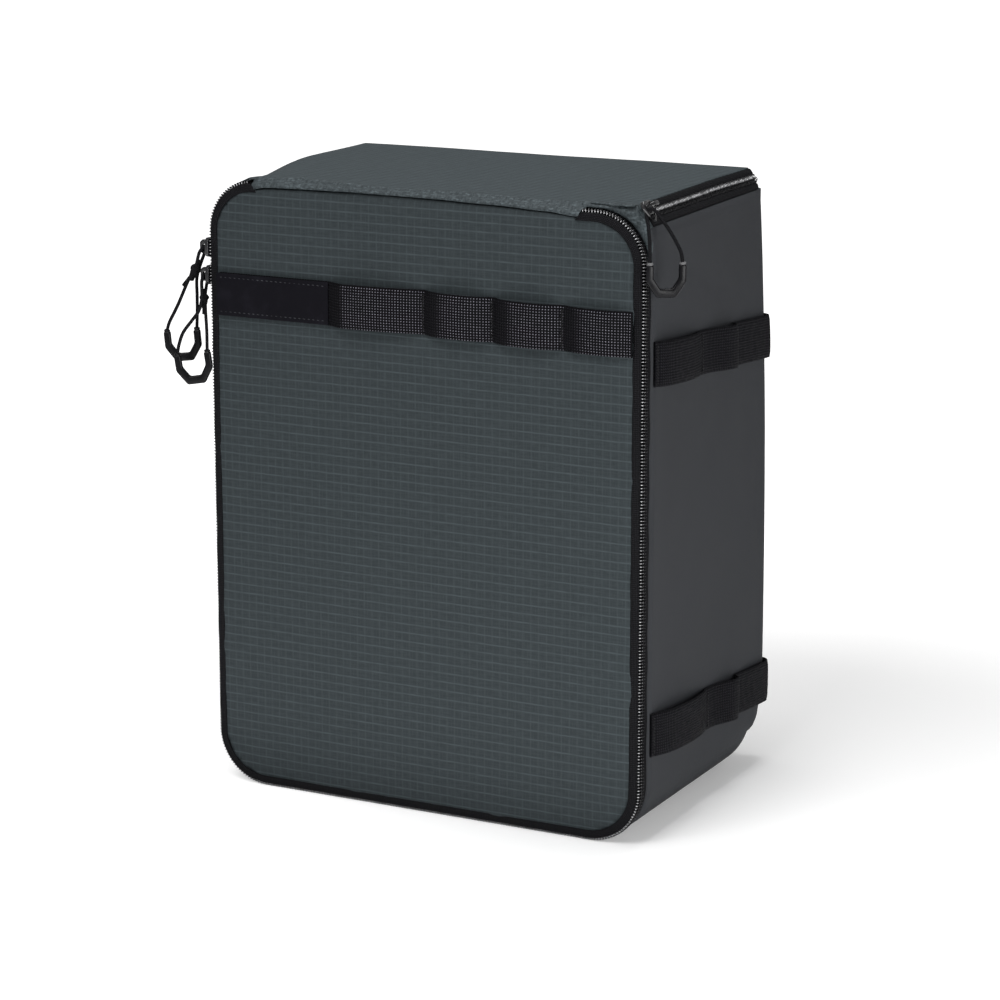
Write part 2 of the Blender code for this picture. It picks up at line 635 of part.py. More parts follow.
def build_front_webbing():
    """Webbing across the front panel, flat under the patch and in four loops beside it."""
    rest = LAYER_GAP + WEBBING_THICK / 2
    tacks = [HALF_WIDTH * share for share in FRONT_TACK_SHARES]
    path = [(FRONT_WEBBING_LEFT_INSET - HALF_WIDTH, FRONT_Y - rest)]
    path += [(x, FRONT_Y - rest - out) for x, out in chained_loops(tacks, FRONT_LOOP_GAP)]
    strap = webbing("front_webbing", path, lambda x, y: FRONT_WEBBING_MID)
    near = FRONT_Y - 2 * LAYER_GAP - WEBBING_THICK
    half = WEBBING_WIDTH / 2
    patch_left = PATCH_LEFT_INSET - HALF_WIDTH
    patch_right = PATCH_RIGHT_SHARE * HALF_WIDTH
    patch = box("name_patch", (patch_left, near - PATCH_THICK, FRONT_WEBBING_MID - half),
                (patch_right, near, FRONT_WEBBING_MID + half))
    dress(patch, PATCH_BLACK)
    return [strap, patch]


def build_side_strap(name, side, tack_shares, mid_height):
    """Webbing on one side wall, in loops, wrapped round the back edge and sewn on the back."""
    rest = LAYER_GAP + WEBBING_THICK / 2
    tacks = [FRONT_Y + CASE_DEPTH * share for share in tack_shares]
    turn_y = BACK_Y - BACK_UPRIGHT_RADIUS
    turn_x = HALF_WIDTH - BACK_UPRIGHT_RADIUS
    path = [(HALF_WIDTH + rest + out, y) for y, out in chained_loops(tacks, SIDE_LOOP_GAP)]
    last = tacks[-1] + TACK_LENGTH / 2
    rise = strap_loop(last, last + 2 * (turn_y - last), SIDE_LOOP_GAP, 2 * LOOP_STEPS)[:LOOP_STEPS]
    path += [(HALF_WIDTH + rest + out, y) for y, out in rise]
    lift = rest + SIDE_LOOP_GAP
    path += arc((turn_x, turn_y), BACK_UPRIGHT_RADIUS + lift, 0, 90, ROUND_STEPS)[1:]
    landing = HALF_WIDTH - STRAP_ON_BACK + STRAP_LANDING
    fall = strap_loop(landing, 2 * turn_x - landing, SIDE_LOOP_GAP, LOOP_STEPS)
    fall = [point for point in fall if point[0] < turn_x]
    path += [(x, BACK_Y + rest + out) for x, out in reversed(fall)]
    path += [(landing, BACK_Y + rest), (HALF_WIDTH - STRAP_ON_BACK, BACK_Y + rest)]
    path = [(side * x, y) for x, y in path]

    def middle(x, y):
        return mid_height - STRAP_DROP * (y - FRONT_Y) / CASE_DEPTH

    return webbing(name, path, middle)


def build_inside():
    """Two full shelves and one sliding upright divider in each bay."""
    inner = HALF_WIDTH - LINING_IN - LAYER_GAP
    front = INNER_FRONT + SHELF_FRONT_GAP
    back = BACK_Y - LINING_IN - LAYER_GAP
    half = SHELF_THICK / 2
    heights = [CASE_HEIGHT * share for share in SHELF_HEIGHT_SHARES]
    for name, height in zip(("shelf_lower", "shelf_upper"), heights):
        plan = board_plan(inner, front, back, SMALLEST_RADIUS)
        dress(prism(name, plan, "Z", height - half, height + half), LINING_GREY)
    floors = [LINING_IN] + [height + half for height in heights]
    roofs = [height - half for height in heights] + [INNER_TOP]
    names = ("divider_lower", "divider_middle", "divider_upper")
    boards = []
    for name, place, floor, roof in zip(names, DIVIDER_PLACES, floors, roofs):
        low = floor + LAYER_GAP
        high = roof - LAYER_GAP
        radius = BACK_BOTTOM_RADIUS - LINING_IN if floor == LINING_IN else 0
        outline = [(front, high), (front, low)]
        if radius > 0:
            outline += arc((back - radius, low + radius), radius, 270, 360, ROUND_STEPS)
        else:
            outline.append((back, low))
        outline.append((back, high))
        half = DIVIDER_THICK / 2
        board = prism(name, outline, "X", place - half, place + half)
        boards.append(dress(board, LINING_GREY, draw_in=False))
    return boards


def build_slider(name):
    """Slider lying flat: a plate with chamfered corners and an arch for the pull to hang in."""
    half_w = SLIDER_WIDTH / 2
    half_l = SLIDER_LENGTH / 2
    c = SLIDER_CHAMFER
    outline = [(half_w, half_l - c), (half_w - c, half_l), (c - half_w, half_l), (-half_w, half_l - c),
               (-half_w, c - half_l), (c - half_w, -half_l), (half_w - c, -half_l), (half_w, c - half_l)]
    plate = prism(name, outline, "Z", 0, SLIDER_THICK)
    half = ARCH_LENGTH / 2
    top = SLIDER_THICK + ARCH_HEIGHT
    foot = SLIDER_THICK - SLIDER_SINK
    inner = half - ARCH_BAR
    ceiling = top - ARCH_BAR
    side = [(-half, foot), (-inner, foot), (-inner, ceiling - ARCH_BAR), (-inner + ARCH_BAR, ceiling),
            (inner - ARCH_BAR, ceiling), (inner, ceiling - ARCH_BAR), (inner, foot), (half, foot),
            (half, top - ARCH_BAR), (half - ARCH_BAR, top), (ARCH_BAR - half, top), (-half, top - ARCH_BAR)]
    arch = prism(name + "_arch", side, "X", -ARCH_WIDTH / 2, ARCH_WIDTH / 2)
    carve(plate, [("UNION", arch)])
    return plate


def place(item, origin, across, along, out):
    """Move a piece so that its X, Y and Z run along three given directions."""
    across, along, out = Vector(across), Vector(along), Vector(out)
    for vertex in item.data.vertices:
        x, y, z = vertex.co
        vertex.co = Vector(origin) + across * x + along * y + out * z
    work = bmesh.new()
    work.from_mesh(item.data)
    bmesh.ops.recalc_face_normals(work, faces=work.faces)
    work.to_mesh(item.data)
    work.free()
    return item


def moved(offset, pivot):
    """A place given from a pivot, as a place in the case's frame."""
    return tuple(a + b for a, b in zip(offset, pivot))


def build_grip(name, top_middle, facing, lean):
    """Angular U-shaped grip: its open end up, its plane turned by facing and tipped by lean."""
    outer = (GRIP_SPAN + GRIP_BAR) / 2
    inner = (GRIP_SPAN - GRIP_BAR) / 2
    foot_in = GRIP_FOOT - GRIP_BAR / 2
    shoulder = GRIP_ARM - GRIP_BAR / 2
    outline = [(-outer, 0), (-outer, -GRIP_ARM), (-GRIP_FOOT, -GRIP_DEPTH), (GRIP_FOOT, -GRIP_DEPTH),
               (outer, -GRIP_ARM), (outer, 0), (inner, 0), (inner, -shoulder),
               (foot_in, GRIP_FOOT_BAR - GRIP_DEPTH), (-foot_in, GRIP_FOOT_BAR - GRIP_DEPTH),
               (-inner, -shoulder), (-inner, 0)]
    grip = prism(name, outline, "Z", -GRIP_THICK / 2, GRIP_THICK / 2)
    turn = math.radians(facing)
    tip = math.radians(lean)
    level = Vector((math.cos(turn), math.sin(turn), 0))
    up = Vector((0, 0, 1))
    across = level * math.cos(tip) + up * math.sin(tip)
    along = up * math.cos(tip) - level * math.sin(tip)
    place(grip, top_middle, across, along, across.cross(along))
    return dress(grip, GRIP_BLACK, draw_in=False)


def smooth_route(points, spacing):
    """Evenly spaced points on a smooth curve through a route's own points."""
    knots = [Vector(point) for point in points]
    knots = [2 * knots[0] - knots[1]] + knots + [2 * knots[-1] - knots[-2]]
    fine = []
    for a, b, c, d in zip(knots[:-3], knots[1:-2], knots[2:-1], knots[3:]):
        for i in range(ROUTE_STEPS):
            t = i / ROUTE_STEPS
            fine.append(((2 * b) + (c - a) * t + (2 * a - 5 * b + 4 * c - d) * t ** 2
                         + (3 * b - a - 3 * c + d) * t ** 3) / 2)
    fine.append(knots[-2])
    lengths = [0]
    for a, b in zip(fine[:-1], fine[1:]):
        lengths.append(lengths[-1] + (b - a).length)
    count = max(2, round(lengths[-1] / spacing))
    route = []
    for i in range(count + 1):
        target = lengths[-1] * i / count
        k = max(j for j in range(len(fine) - 1) if lengths[j] <= target)
        share = (target - lengths[k]) / (lengths[k + 1] - lengths[k])
        route.append(fine[k].lerp(fine[k + 1], share))
    return route


def build_cord(name, points):
    """Pull cord: a curve with a round bevel and filled caps."""
    curve = bpy.data.curves.new(name, "CURVE")
    curve.dimensions = "3D"
    curve.bevel_depth = CORD_DIAMETER / 2
    curve.bevel_resolution = CORD_ROUND_STEPS
    curve.use_fill_caps = True
    route = smooth_route(points, 2 * CORD_DIAMETER)
    spline = curve.splines.new("POLY")
    spline.points.add(len(route) - 1)
    for point, spot in zip(spline.points, route):
        point.co = (*spot, 1)
    cord = bpy.data.objects.new(name, curve)
    bpy.context.collection.objects.link(cord)
    paint(cord, CORD_BLACK)
    return cord


# Middle of each grip between the tops of its two arms, from the middle of its slider's arch
UPPER_GRIP_TOP = (-0.02130, 0.00585, -0.05180)
LOWER_GRIP_TOP = (-0.00730, -0.00545, -0.04620)
TOP_GRIP_TOP = (0.01326, -0.01000, -0.02969)

# Routes of the pull cords, from one arm of the grip, through the arch, to the other arm, from
# the middle of the arch
UPPER_CORD = [(-0.02960, 0.00285, -0.05220), (-0.02780, 0.00275, -0.04700), (-0.02130, 0.00235, -0.03600),
              (-0.01430, 0.00185, -0.02250), (-0.01010, 0.00155, -0.01600), (-0.00730, 0.00085, -0.01150),
              (-0.00480, -0.00115, -0.00700), (-0.00250, -0.00285, -0.00320), (-0.00050, -0.00215, -0.00040),
              (0.00000, 0.00005, 0.00020), (-0.00050, 0.00225, -0.00050), (-0.00250, 0.00325, -0.00370),
              (-0.00480, 0.00385, -0.00800), (-0.00750, 0.00435, -0.01400), (-0.00950, 0.00465, -0.02050),
              (-0.01030, 0.00585, -0.03100), (-0.01180, 0.00785, -0.04200), (-0.01290, 0.00885, -0.05060)]
LOWER_CORD = [(-0.01560, -0.00845, -0.04710), (-0.01430, -0.00825, -0.04100), (-0.01180, -0.00745, -0.03400),
              (-0.00680, -0.00585, -0.02700), (-0.00300, -0.00445, -0.02150), (-0.00110, -0.00375, -0.01500),
              (-0.00090, -0.00365, -0.00900), (-0.00110, -0.00325, -0.00400), (-0.00040, -0.00215, -0.00060),
              (0.00000, 0.00005, 0.00010), (-0.00040, 0.00225, -0.00070), (-0.00130, 0.00295, -0.00450),
              (-0.00150, 0.00195, -0.00850), (-0.00110, -0.00005, -0.01350), (-0.00040, -0.00105, -0.01900),
              (0.00020, -0.00165, -0.02500), (0.00090, -0.00215, -0.03300), (0.00100, -0.00235, -0.04470)]
TOP_CORD = [(0.00596, -0.01510, -0.02939), (0.00586, -0.01500, -0.02389), (0.00516, -0.01420, -0.01689),
            (0.00356, -0.01230, -0.00989), (0.00156, -0.01000, -0.00589), (0.00046, -0.00820, -0.00389),
            (0.00096, -0.00730, -0.00209), (0.00256, -0.00710, -0.00089), (0.00476, -0.00720, -0.00139),
            (0.00796, -0.00710, -0.00489), (0.01256, -0.00650, -0.01089), (0.01656, -0.00570, -0.01739),
            (0.01946, -0.00500, -0.02339), (0.02056, -0.00480, -0.02939)]


def build_bail(pivot, down, out):
    """Closed wire triangle that runs through the top slider's arch and carries the cord."""
    far_shares = ((1.0, 0.85), (0.8, 1.0), (-0.8, 1.0), (-1.0, 0.85))
    turn = math.radians(BAIL_TURN)
    forward = Vector((0, -1, 0))
    across = Vector(down) * math.cos(turn) - forward * math.sin(turn)
    reach = forward * math.cos(turn) + Vector(down) * math.sin(turn)
    half = BAIL_WIDTH / 2
    spots = [pivot - across * BAIL_TOP_BAR / 2, pivot + across * BAIL_TOP_BAR / 2]
    spots += [pivot + across * half * a + reach * BAIL_REACH * b for a, b in far_shares]
    rings = []
    count = len(spots)
    for i, spot in enumerate(spots):
        before = (spot - spots[i - 1]).normalized()
        after = (spots[(i + 1) % count] - spot).normalized()
        direction = (before + after).normalized()
        side = direction.cross(Vector(out)).normalized() / direction.dot(after)
        ring = []
        for k in range(BAIL_SIDES):
            angle = math.tau * k / BAIL_SIDES
            ring.append(spot + (Vector(out) * math.cos(angle) + side * math.sin(angle)) * BAIL_WIRE / 2)
        rings.append(ring)
    bail = loft("top_pull_bail", rings, ring_closed=True)
    return dress(bail, METAL_BLACK, draw_in=False)


def joint_point(name, spot):
    """Empty on a joint's axis, which carries the pieces that move about it."""
    empty = bpy.data.objects.new(name, None)
    empty.empty_display_size = WEBBING_WIDTH
    empty.location = spot
    bpy.context.collection.objects.link(empty)
    return empty


def hang_on(empty, items):
    """Carry pieces on a joint's empty without moving them."""
    for item in items:
        item.parent = empty
        item.location = -empty.location


build_shell()
build_lining()
build_foam()
panel_pieces = build_front_panel() + build_front_zip() + build_front_webbing()
lid_pieces = build_lid() + build_top_zip()
build_hinge_band()
build_gusset("corner_gusset_left", -1)
build_gusset("corner_gusset_right", 1)
for side_name, side_sign in (("left", -1), ("right", 1)):
    build_side_strap("upper_strap_" + side_name, side_sign, UPPER_TACK_SHARES, CASE_HEIGHT - UPPER_STRAP_DROP)
    build_side_strap("lower_strap_" + side_name, side_sign, LOWER_TACK_SHARES, LOWER_STRAP_RISE)
dividers = build_inside()

hang_on(joint_point("front_panel_hinge", (0, FRONT_Y, PANEL_HINGE_Z)), panel_pieces)
hang_on(joint_point("top_lid_hinge", (0, BAND_TOP_Y + BAND_THICK, CASE_HEIGHT)), lid_pieces)
for divider, divider_x in zip(dividers, DIVIDER_PLACES):
    hang_on(joint_point(divider.name + "_slide", (divider_x, 0, 0)), [divider])

# Sliders on the left run of the front zip, with their pulls
slider_face = -HALF_WIDTH - LAYER_GAP
for word, slider_z, cord_route, grip_top, grip_lean in (
        ("upper", UPPER_SLIDER_HEIGHT, UPPER_CORD, UPPER_GRIP_TOP, UPPER_GRIP_LEAN),
        ("lower", LOWER_SLIDER_HEIGHT, LOWER_CORD, LOWER_GRIP_TOP, LOWER_GRIP_LEAN)):
    slider = build_slider("front_slider_" + word)
    place(slider, (slider_face, ZIP_MIDDLE_Y, slider_z), (0, -1, 0), (0, 0, 1), (-1, 0, 0))
    dress(slider, METAL_BLACK, draw_in=False)
    pivot_spot = (-HALF_WIDTH - ARCH_HOLE_OUT, ZIP_MIDDLE_Y, slider_z)
    grip = build_grip("front_pull_grip_" + word, moved(grip_top, pivot_spot), FRONT_GRIP_FACING, grip_lean)
    cord = build_cord("front_pull_cord_" + word, [moved(spot, pivot_spot) for spot in cord_route])
    slide_empty = joint_point("front_slider_" + word + "_slide", (slider_face, ZIP_MIDDLE_Y, slider_z))
    hang_on(slide_empty, [slider])
    hang_on(joint_point("front_pull_" + word + "_hinge", pivot_spot), [grip, cord])

# Slider of the top zip at the right front, with its bail and pull
run_share = SLOPE_RUN / SLOPE_LENGTH
rise_share = SLOPE_RISE / SLOPE_LENGTH
edge_x = narrowed(HALF_WIDTH - SLOPE_RUN, TOP_SLIDER_Y)
sink = -(TOP_COIL_RADIUS - TOP_COIL_SINK + LAYER_GAP)
top_face = slope_point((edge_x, TOP_SLIDER_Y), (1, 0), TOP_SLIDER_ALONG_SLOPE, sink)
slope_down = (run_share, 0, -rise_share)
slope_out = (rise_share, 0, run_share)
top_slider = place(build_slider("top_slider"), top_face, slope_down, (0, 1, 0), slope_out)
dress(top_slider, METAL_BLACK, draw_in=False)
hang_on(joint_point("top_slider_slide", top_face), [top_slider])
arch_mid = Vector(top_face) + Vector(slope_out) * (ARCH_HOLE_OUT - LAYER_GAP)
top_grip = build_grip("top_pull_grip", moved(TOP_GRIP_TOP, arch_mid), TOP_GRIP_FACING, TOP_GRIP_LEAN)
top_cord = build_cord("top_pull_cord", [moved(spot, arch_mid) for spot in TOP_CORD])
top_bail = build_bail(arch_mid, slope_down, slope_out)
hang_on(joint_point("top_pull_hinge", arch_mid), [top_grip, top_cord, top_bail])
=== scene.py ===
# %% [markdown]
# # A padded camera bag insert
#
# This lesson dresses a padded box that photographers slide into a bigger bag. Its front
# panel zips open round three sides, its lid zips open round the back, and bands of webbing
# are sewn into loops on the front and the sides.
#
# The hard model is already packed: it holds every solid, body and joint. Here each soft
# solid gets a sewn piece in its place, and each surface gets a finish.

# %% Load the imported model
import bisect
import json
import math

import bmesh
import bpy
from mathutils import Matrix, Vector, noise

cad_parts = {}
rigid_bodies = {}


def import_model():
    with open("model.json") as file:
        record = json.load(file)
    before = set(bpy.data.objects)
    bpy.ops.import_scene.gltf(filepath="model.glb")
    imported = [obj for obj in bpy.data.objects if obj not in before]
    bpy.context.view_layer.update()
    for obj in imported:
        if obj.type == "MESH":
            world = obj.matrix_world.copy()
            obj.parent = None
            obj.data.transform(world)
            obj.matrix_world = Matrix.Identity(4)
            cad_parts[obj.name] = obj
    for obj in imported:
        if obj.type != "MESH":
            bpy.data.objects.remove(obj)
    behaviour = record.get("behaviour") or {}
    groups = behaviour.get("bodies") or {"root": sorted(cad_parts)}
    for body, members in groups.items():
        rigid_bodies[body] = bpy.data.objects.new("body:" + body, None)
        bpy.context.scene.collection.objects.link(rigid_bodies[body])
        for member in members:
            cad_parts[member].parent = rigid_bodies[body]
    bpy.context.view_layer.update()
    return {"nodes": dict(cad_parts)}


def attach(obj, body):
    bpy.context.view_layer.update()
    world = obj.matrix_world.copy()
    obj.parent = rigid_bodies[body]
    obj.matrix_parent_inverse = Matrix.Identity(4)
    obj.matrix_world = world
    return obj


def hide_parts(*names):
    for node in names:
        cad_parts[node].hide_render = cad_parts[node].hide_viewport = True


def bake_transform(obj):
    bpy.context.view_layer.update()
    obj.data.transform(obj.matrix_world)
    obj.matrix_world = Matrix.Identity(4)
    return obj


for leftover in list(bpy.data.objects):
    bpy.data.objects.remove(leftover)
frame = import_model()

# %% [markdown]
# ## The camera
#
# The camera stands to the front right, a little above the lid, and looks slightly down. A
# long lens keeps the upright edges nearly parallel, as in a catalogue picture.

# %% Place the camera
AIM = Vector((0.003126, 0, 0.166157))
AZIMUTH = math.radians(27.2869)
ELEVATION = math.radians(13.4497)
CAMERA_DISTANCE = 1.903268
LENS = 116.219

camera_data = bpy.data.cameras.new("catalogue_camera")
camera_data.sensor_fit = "HORIZONTAL"
camera_data.sensor_width = 36
camera_data.lens = LENS
camera = bpy.data.objects.new("catalogue_camera", camera_data)
bpy.context.collection.objects.link(camera)
towards = Vector((math.sin(AZIMUTH) * math.cos(ELEVATION),
                  -math.cos(AZIMUTH) * math.cos(ELEVATION), math.sin(ELEVATION)))
camera.location = AIM + towards * CAMERA_DISTANCE
camera.rotation_euler = (-towards).to_track_quat("-Z", "Y").to_euler()
bpy.context.scene.camera = camera
bpy.context.scene.view_settings.view_transform = "Standard"
print("camera", [round(v, 3) for v in camera.location])

# %% [markdown]
# ## Small tools for node trees
#
# Every finish is a node tree. These helpers make a node, set or link its inputs, and hand
# back the output, so that a finish reads almost like a formula.

# %% Node helpers
def fill(tree, socket, value):
    """Link a socket to another node's output, or set its value."""
    if isinstance(value, bpy.types.NodeSocket):
        tree.links.new(value, socket)
    else:
        socket.default_value = value


def calc(tree, operation, *values):
    """A Math node."""
    node = tree.nodes.new("ShaderNodeMath")
    node.operation = operation
    for socket, value in zip(node.inputs, values):
        fill(tree, socket, value)
    return node.outputs[0]


def ramp(tree, value, low, high, start=0.0, stop=1.0):
    """A smooth step from start to stop as value goes from low to high."""
    node = tree.nodes.new("ShaderNodeMapRange")
    node.interpolation_type = "SMOOTHSTEP"
    fill(tree, node.inputs["Value"], value)
    node.inputs["From Min"].default_value = low
    node.inputs["From Max"].default_value = high
    node.inputs["To Min"].default_value = start
    node.inputs["To Max"].default_value = stop
    return node.outputs[0]


def mottle(tree, vector, scale, detail=2.0):
    """A Noise Texture's value at a scale in blobs per metre."""
    node = tree.nodes.new("ShaderNodeTexNoise")
    fill(tree, node.inputs["Vector"], vector)
    node.inputs["Scale"].default_value = scale
    node.inputs["Detail"].default_value = detail
    return node.outputs["Fac"]


def stretch(tree, vector, x, y, z):
    """A vector scaled by a different amount on each axis."""
    node = tree.nodes.new("ShaderNodeMapping")
    fill(tree, node.inputs["Vector"], vector)
    node.inputs["Scale"].default_value = (x, y, z)
    return node.outputs[0]


def split(tree, vector):
    """The X, Y and Z of a vector, by name."""
    node = tree.nodes.new("ShaderNodeSeparateXYZ")
    tree.links.new(vector, node.inputs[0])
    return node.outputs


def blend_colours(tree, mask, dark, light):
    """A colour between dark and light by a mask."""
    node = tree.nodes.new("ShaderNodeMix")
    node.data_type = "RGBA"
    fill(tree, node.inputs["Factor"], mask)
    colour_inputs = [socket for socket in node.inputs if socket.type == "RGBA"]
    fill(tree, colour_inputs[0], dark)
    fill(tree, colour_inputs[1], light)
    return [socket for socket in node.outputs if socket.type == "RGBA"][0]


def rgba(colour, share=1.0):
    """A colour made lighter or darker by a share, with alpha."""
    return tuple(channel * share for channel in colour) + (1.0,)


def use_group(tree, group, **values):
    """Place a node group and set its inputs; an underscore stands for a space."""
    node = tree.nodes.new("ShaderNodeGroup")
    node.node_tree = group
    for name, value in values.items():
        fill(tree, node.inputs[name.replace("_", " ")], value)
    return node


def new_group(name, inputs, outputs):
    """An empty node group with float inputs, a vector input and named outputs."""
    group = bpy.data.node_groups.new(name, "ShaderNodeTree")
    group.interface.new_socket("Vector", in_out="INPUT", socket_type="NodeSocketVector")
    for socket_name in inputs:
        group.interface.new_socket(socket_name, in_out="INPUT", socket_type="NodeSocketFloat")
    for socket_name in outputs:
        group.interface.new_socket(socket_name, in_out="OUTPUT", socket_type="NodeSocketFloat")
    entry = group.nodes.new("NodeGroupInput")
    leave = group.nodes.new("NodeGroupOutput")
    return group, entry, leave


# %% [markdown]
# ## Ripstop, weave and ribs
#
# Ripstop cloth has a thicker thread every few millimetres each way, which shows as a faint
# grid. All woven goods share the same idea: threads repeat at a pitch, and each one is a
# little hump. One group draws the grid of thick threads, and another draws plain humps.

# %% Shared pattern groups
def thread_line(tree, place, pitch, half_width):
    """One at the middle of each thick thread and nothing between threads."""
    turns = calc(tree, "DIVIDE", place, pitch)
    offset = calc(tree, "ABSOLUTE", calc(tree, "SUBTRACT", calc(tree, "FRACT", turns), 0.5))
    distance = calc(tree, "MULTIPLY", offset, pitch)
    node = tree.nodes.new("ShaderNodeMapRange")
    node.interpolation_type = "SMOOTHSTEP"
    fill(tree, node.inputs["Value"], distance)
    fill(tree, node.inputs["From Min"], half_width)
    node.inputs["From Max"].default_value = 0.0
    return node.outputs[0]


def build_grid_group():
    """Thick threads both ways; Level is the strong set and Upright the faint one."""
    group, entry, leave = new_group("ripstop grid", ["Level Pitch", "Upright Pitch", "Half Width"],
                                    ["Level", "Upright"])
    parts = split(group, entry.outputs["Vector"])
    for word, axis in (("Level", "Y"), ("Upright", "X")):
        line = thread_line(group, parts[axis], entry.outputs[word + " Pitch"], entry.outputs["Half Width"])
        group.links.new(line, leave.inputs[word])
    return group


def build_weave_group():
    """Humps of a plain weave: Humps for the height, Dots for the tops of the threads."""
    group, entry, leave = new_group("plain weave", ["Along Pitch", "Across Pitch"], ["Humps", "Dots"])
    parts = split(group, entry.outputs["Vector"])
    waves = []
    for axis, pitch in (("X", "Along Pitch"), ("Y", "Across Pitch")):
        turns = calc(group, "DIVIDE", parts[axis], entry.outputs[pitch])
        waves.append(calc(group, "SINE", calc(group, "MULTIPLY", turns, math.tau)))
    humps = calc(group, "ADD", *[calc(group, "MULTIPLY", wave, 0.5) for wave in waves])
    both = calc(group, "MULTIPLY", *[calc(group, "MAXIMUM", wave, 0.0) for wave in waves])
    group.links.new(humps, leave.inputs["Humps"])
    group.links.new(ramp(group, both, 0.15, 0.75), leave.inputs["Dots"])
    return group


ripstop_grid = build_grid_group()
plain_weave = build_weave_group()
print("pattern groups:", ripstop_grid.name, "and", plain_weave.name)

# %% [markdown]
# ## A material's frame
#
# Each finish starts from the same few nodes: the shader, a bump, and a place to read the
# pattern from. Flat cloth reads Object coordinates in metres. A strip reads its own UV map,
# which is also in metres, so that its ribs follow it round corners.

# %% Material starter
def start_material(name, roughness, bump_height, specular=0.5, sheen=0.0, coat=0.0):
    """A material with its shader and bump in place; returns it with its tree and points."""
    material = bpy.data.materials.new(name)
    material.use_nodes = True
    tree = material.node_tree
    shader = tree.nodes["Principled BSDF"]
    for socket, value in (("Roughness", roughness), ("Specular IOR Level", specular), ("Sheen Weight", sheen),
                          ("Sheen Roughness", 0.5), ("Coat Weight", coat), ("Coat Roughness", 0.15)):
        shader.inputs[socket].default_value = value
    bump = tree.nodes.new("ShaderNodeBump")
    bump.inputs["Strength"].default_value = 1.0
    bump.inputs["Distance"].default_value = bump_height
    tree.links.new(bump.outputs[0], shader.inputs["Normal"])
    return material, tree, tree.nodes.new("ShaderNodeTexCoord")


def dress(tree, colour, height, roughness=None, alpha=None):
    """Feed a finish into the shader and the bump of its tree."""
    shader = tree.nodes["Principled BSDF"]
    tree.links.new(colour, shader.inputs["Base Color"])
    tree.links.new(height, tree.nodes["Bump"].inputs["Height"])
    for socket, value in (("Roughness", roughness), ("Alpha", alpha)):
        if value:
            tree.links.new(value, shader.inputs[socket])


LOW_NOISE, HIGH_NOISE = 0.35, 0.65      # where most of a noise's values lie


def ripstop_material(name, flat_axes, base, line_light, half_width):
    """Ripstop cloth lying in two of the object's axes."""
    material, tree, points = start_material(name, 0.6, 0.00008, specular=0.04)
    parts = split(tree, points.outputs["Object"])
    flat = tree.nodes.new("ShaderNodeCombineXYZ")
    for axis, socket in zip(flat_axes, "XY"):
        tree.links.new(parts[axis], flat.inputs[socket])
    grid = use_group(tree, ripstop_grid, Vector=flat.outputs[0], Level_Pitch=0.0052,
                     Upright_Pitch=0.00485, Half_Width=half_width)
    weave = use_group(tree, plain_weave, Vector=flat.outputs[0], Along_Pitch=0.0009, Across_Pitch=0.0009)
    fine = use_group(tree, ripstop_grid, Vector=flat.outputs[0], Level_Pitch=0.0013,
                     Upright_Pitch=0.00097, Half_Width=0.0004)
    runs = mottle(tree, stretch(tree, flat.outputs[0], 1000, 120, 1), 1.0)
    picks = mottle(tree, stretch(tree, flat.outputs[0], 120, 1000, 1), 1.0)
    level = calc(tree, "MULTIPLY", grid.outputs["Level"], ramp(tree, picks, LOW_NOISE, HIGH_NOISE, 0.6, 0.95))
    upright = calc(tree, "MULTIPLY", grid.outputs["Upright"],
                   ramp(tree, runs, LOW_NOISE, HIGH_NOISE, 0.22, 0.5))
    threads = calc(tree, "MULTIPLY", fine.outputs["Upright"],
                   ramp(tree, runs, LOW_NOISE, HIGH_NOISE, 0.05, 0.3))
    crossing = calc(tree, "MULTIPLY", grid.outputs["Level"], grid.outputs["Upright"])
    lines = calc(tree, "MAXIMUM", calc(tree, "MAXIMUM", level, upright),
                 calc(tree, "MAXIMUM", threads, crossing))
    ground = blend_colours(tree, ramp(tree, picks, LOW_NOISE, HIGH_NOISE), rgba(base, 0.93), rgba(base, 1.07))
    height = calc(tree, "ADD", calc(tree, "MULTIPLY", weave.outputs["Humps"], 0.35), lines)
    dress(tree, blend_colours(tree, lines, ground, rgba(base, line_light)), height)
    return material


def folded_material(name, base):
    """Ripstop bunched up in a hem: lighter where it bunches and pale in flecks, partly its light threads
    crowding and fraying and partly painted highlights on the folds.
    """
    material, tree, points = start_material(name, 0.55, 0.0003, specular=0.1)
    place = points.outputs["Object"]
    bunched = mottle(tree, stretch(tree, place, 900, 350, 350), 1.0, 3)
    fray_and_highlight_flecks = mottle(tree, stretch(tree, place, 420, 900, 900), 1.0, 2)
    ground = blend_colours(tree, ramp(tree, bunched, LOW_NOISE, HIGH_NOISE), rgba(base, 0.85), rgba(base, 1.35))
    # Pale flecks: fraying and painted highlights on the folds.
    colour = blend_colours(tree, ramp(tree, fray_and_highlight_flecks, 0.5, 0.75, 0.0, 0.8), ground, rgba(base, 2.6))
    dress(tree, colour, calc(tree, "ADD", bunched, fray_and_highlight_flecks))
    return material


# %% Coated side cloth and lining
def coated_cloth_material(name, base):
    """Plain coated cloth: a very fine twill under a smooth film, a little cloudy."""
    material, tree, points = start_material(name, 0.5, 0.00004, specular=0.05)
    place = points.outputs["Object"]
    clouds = mottle(tree, place, 14, 3)
    grain = mottle(tree, place, 2600, 1)
    twill = mottle(tree, stretch(tree, place, 500, 500, 2400), 1.0, 1)
    ground = blend_colours(tree, ramp(tree, clouds, 0.3, 0.7), rgba(base, 0.94), rgba(base, 1.06))
    colour = blend_colours(tree, ramp(tree, grain, 0.4, 0.7, 0.0, 0.35), ground, rgba(base, 1.35))
    dress(tree, colour, calc(tree, "ADD", grain, twill), ramp(tree, clouds, 0.3, 0.7, 0.5, 0.6))
    return material


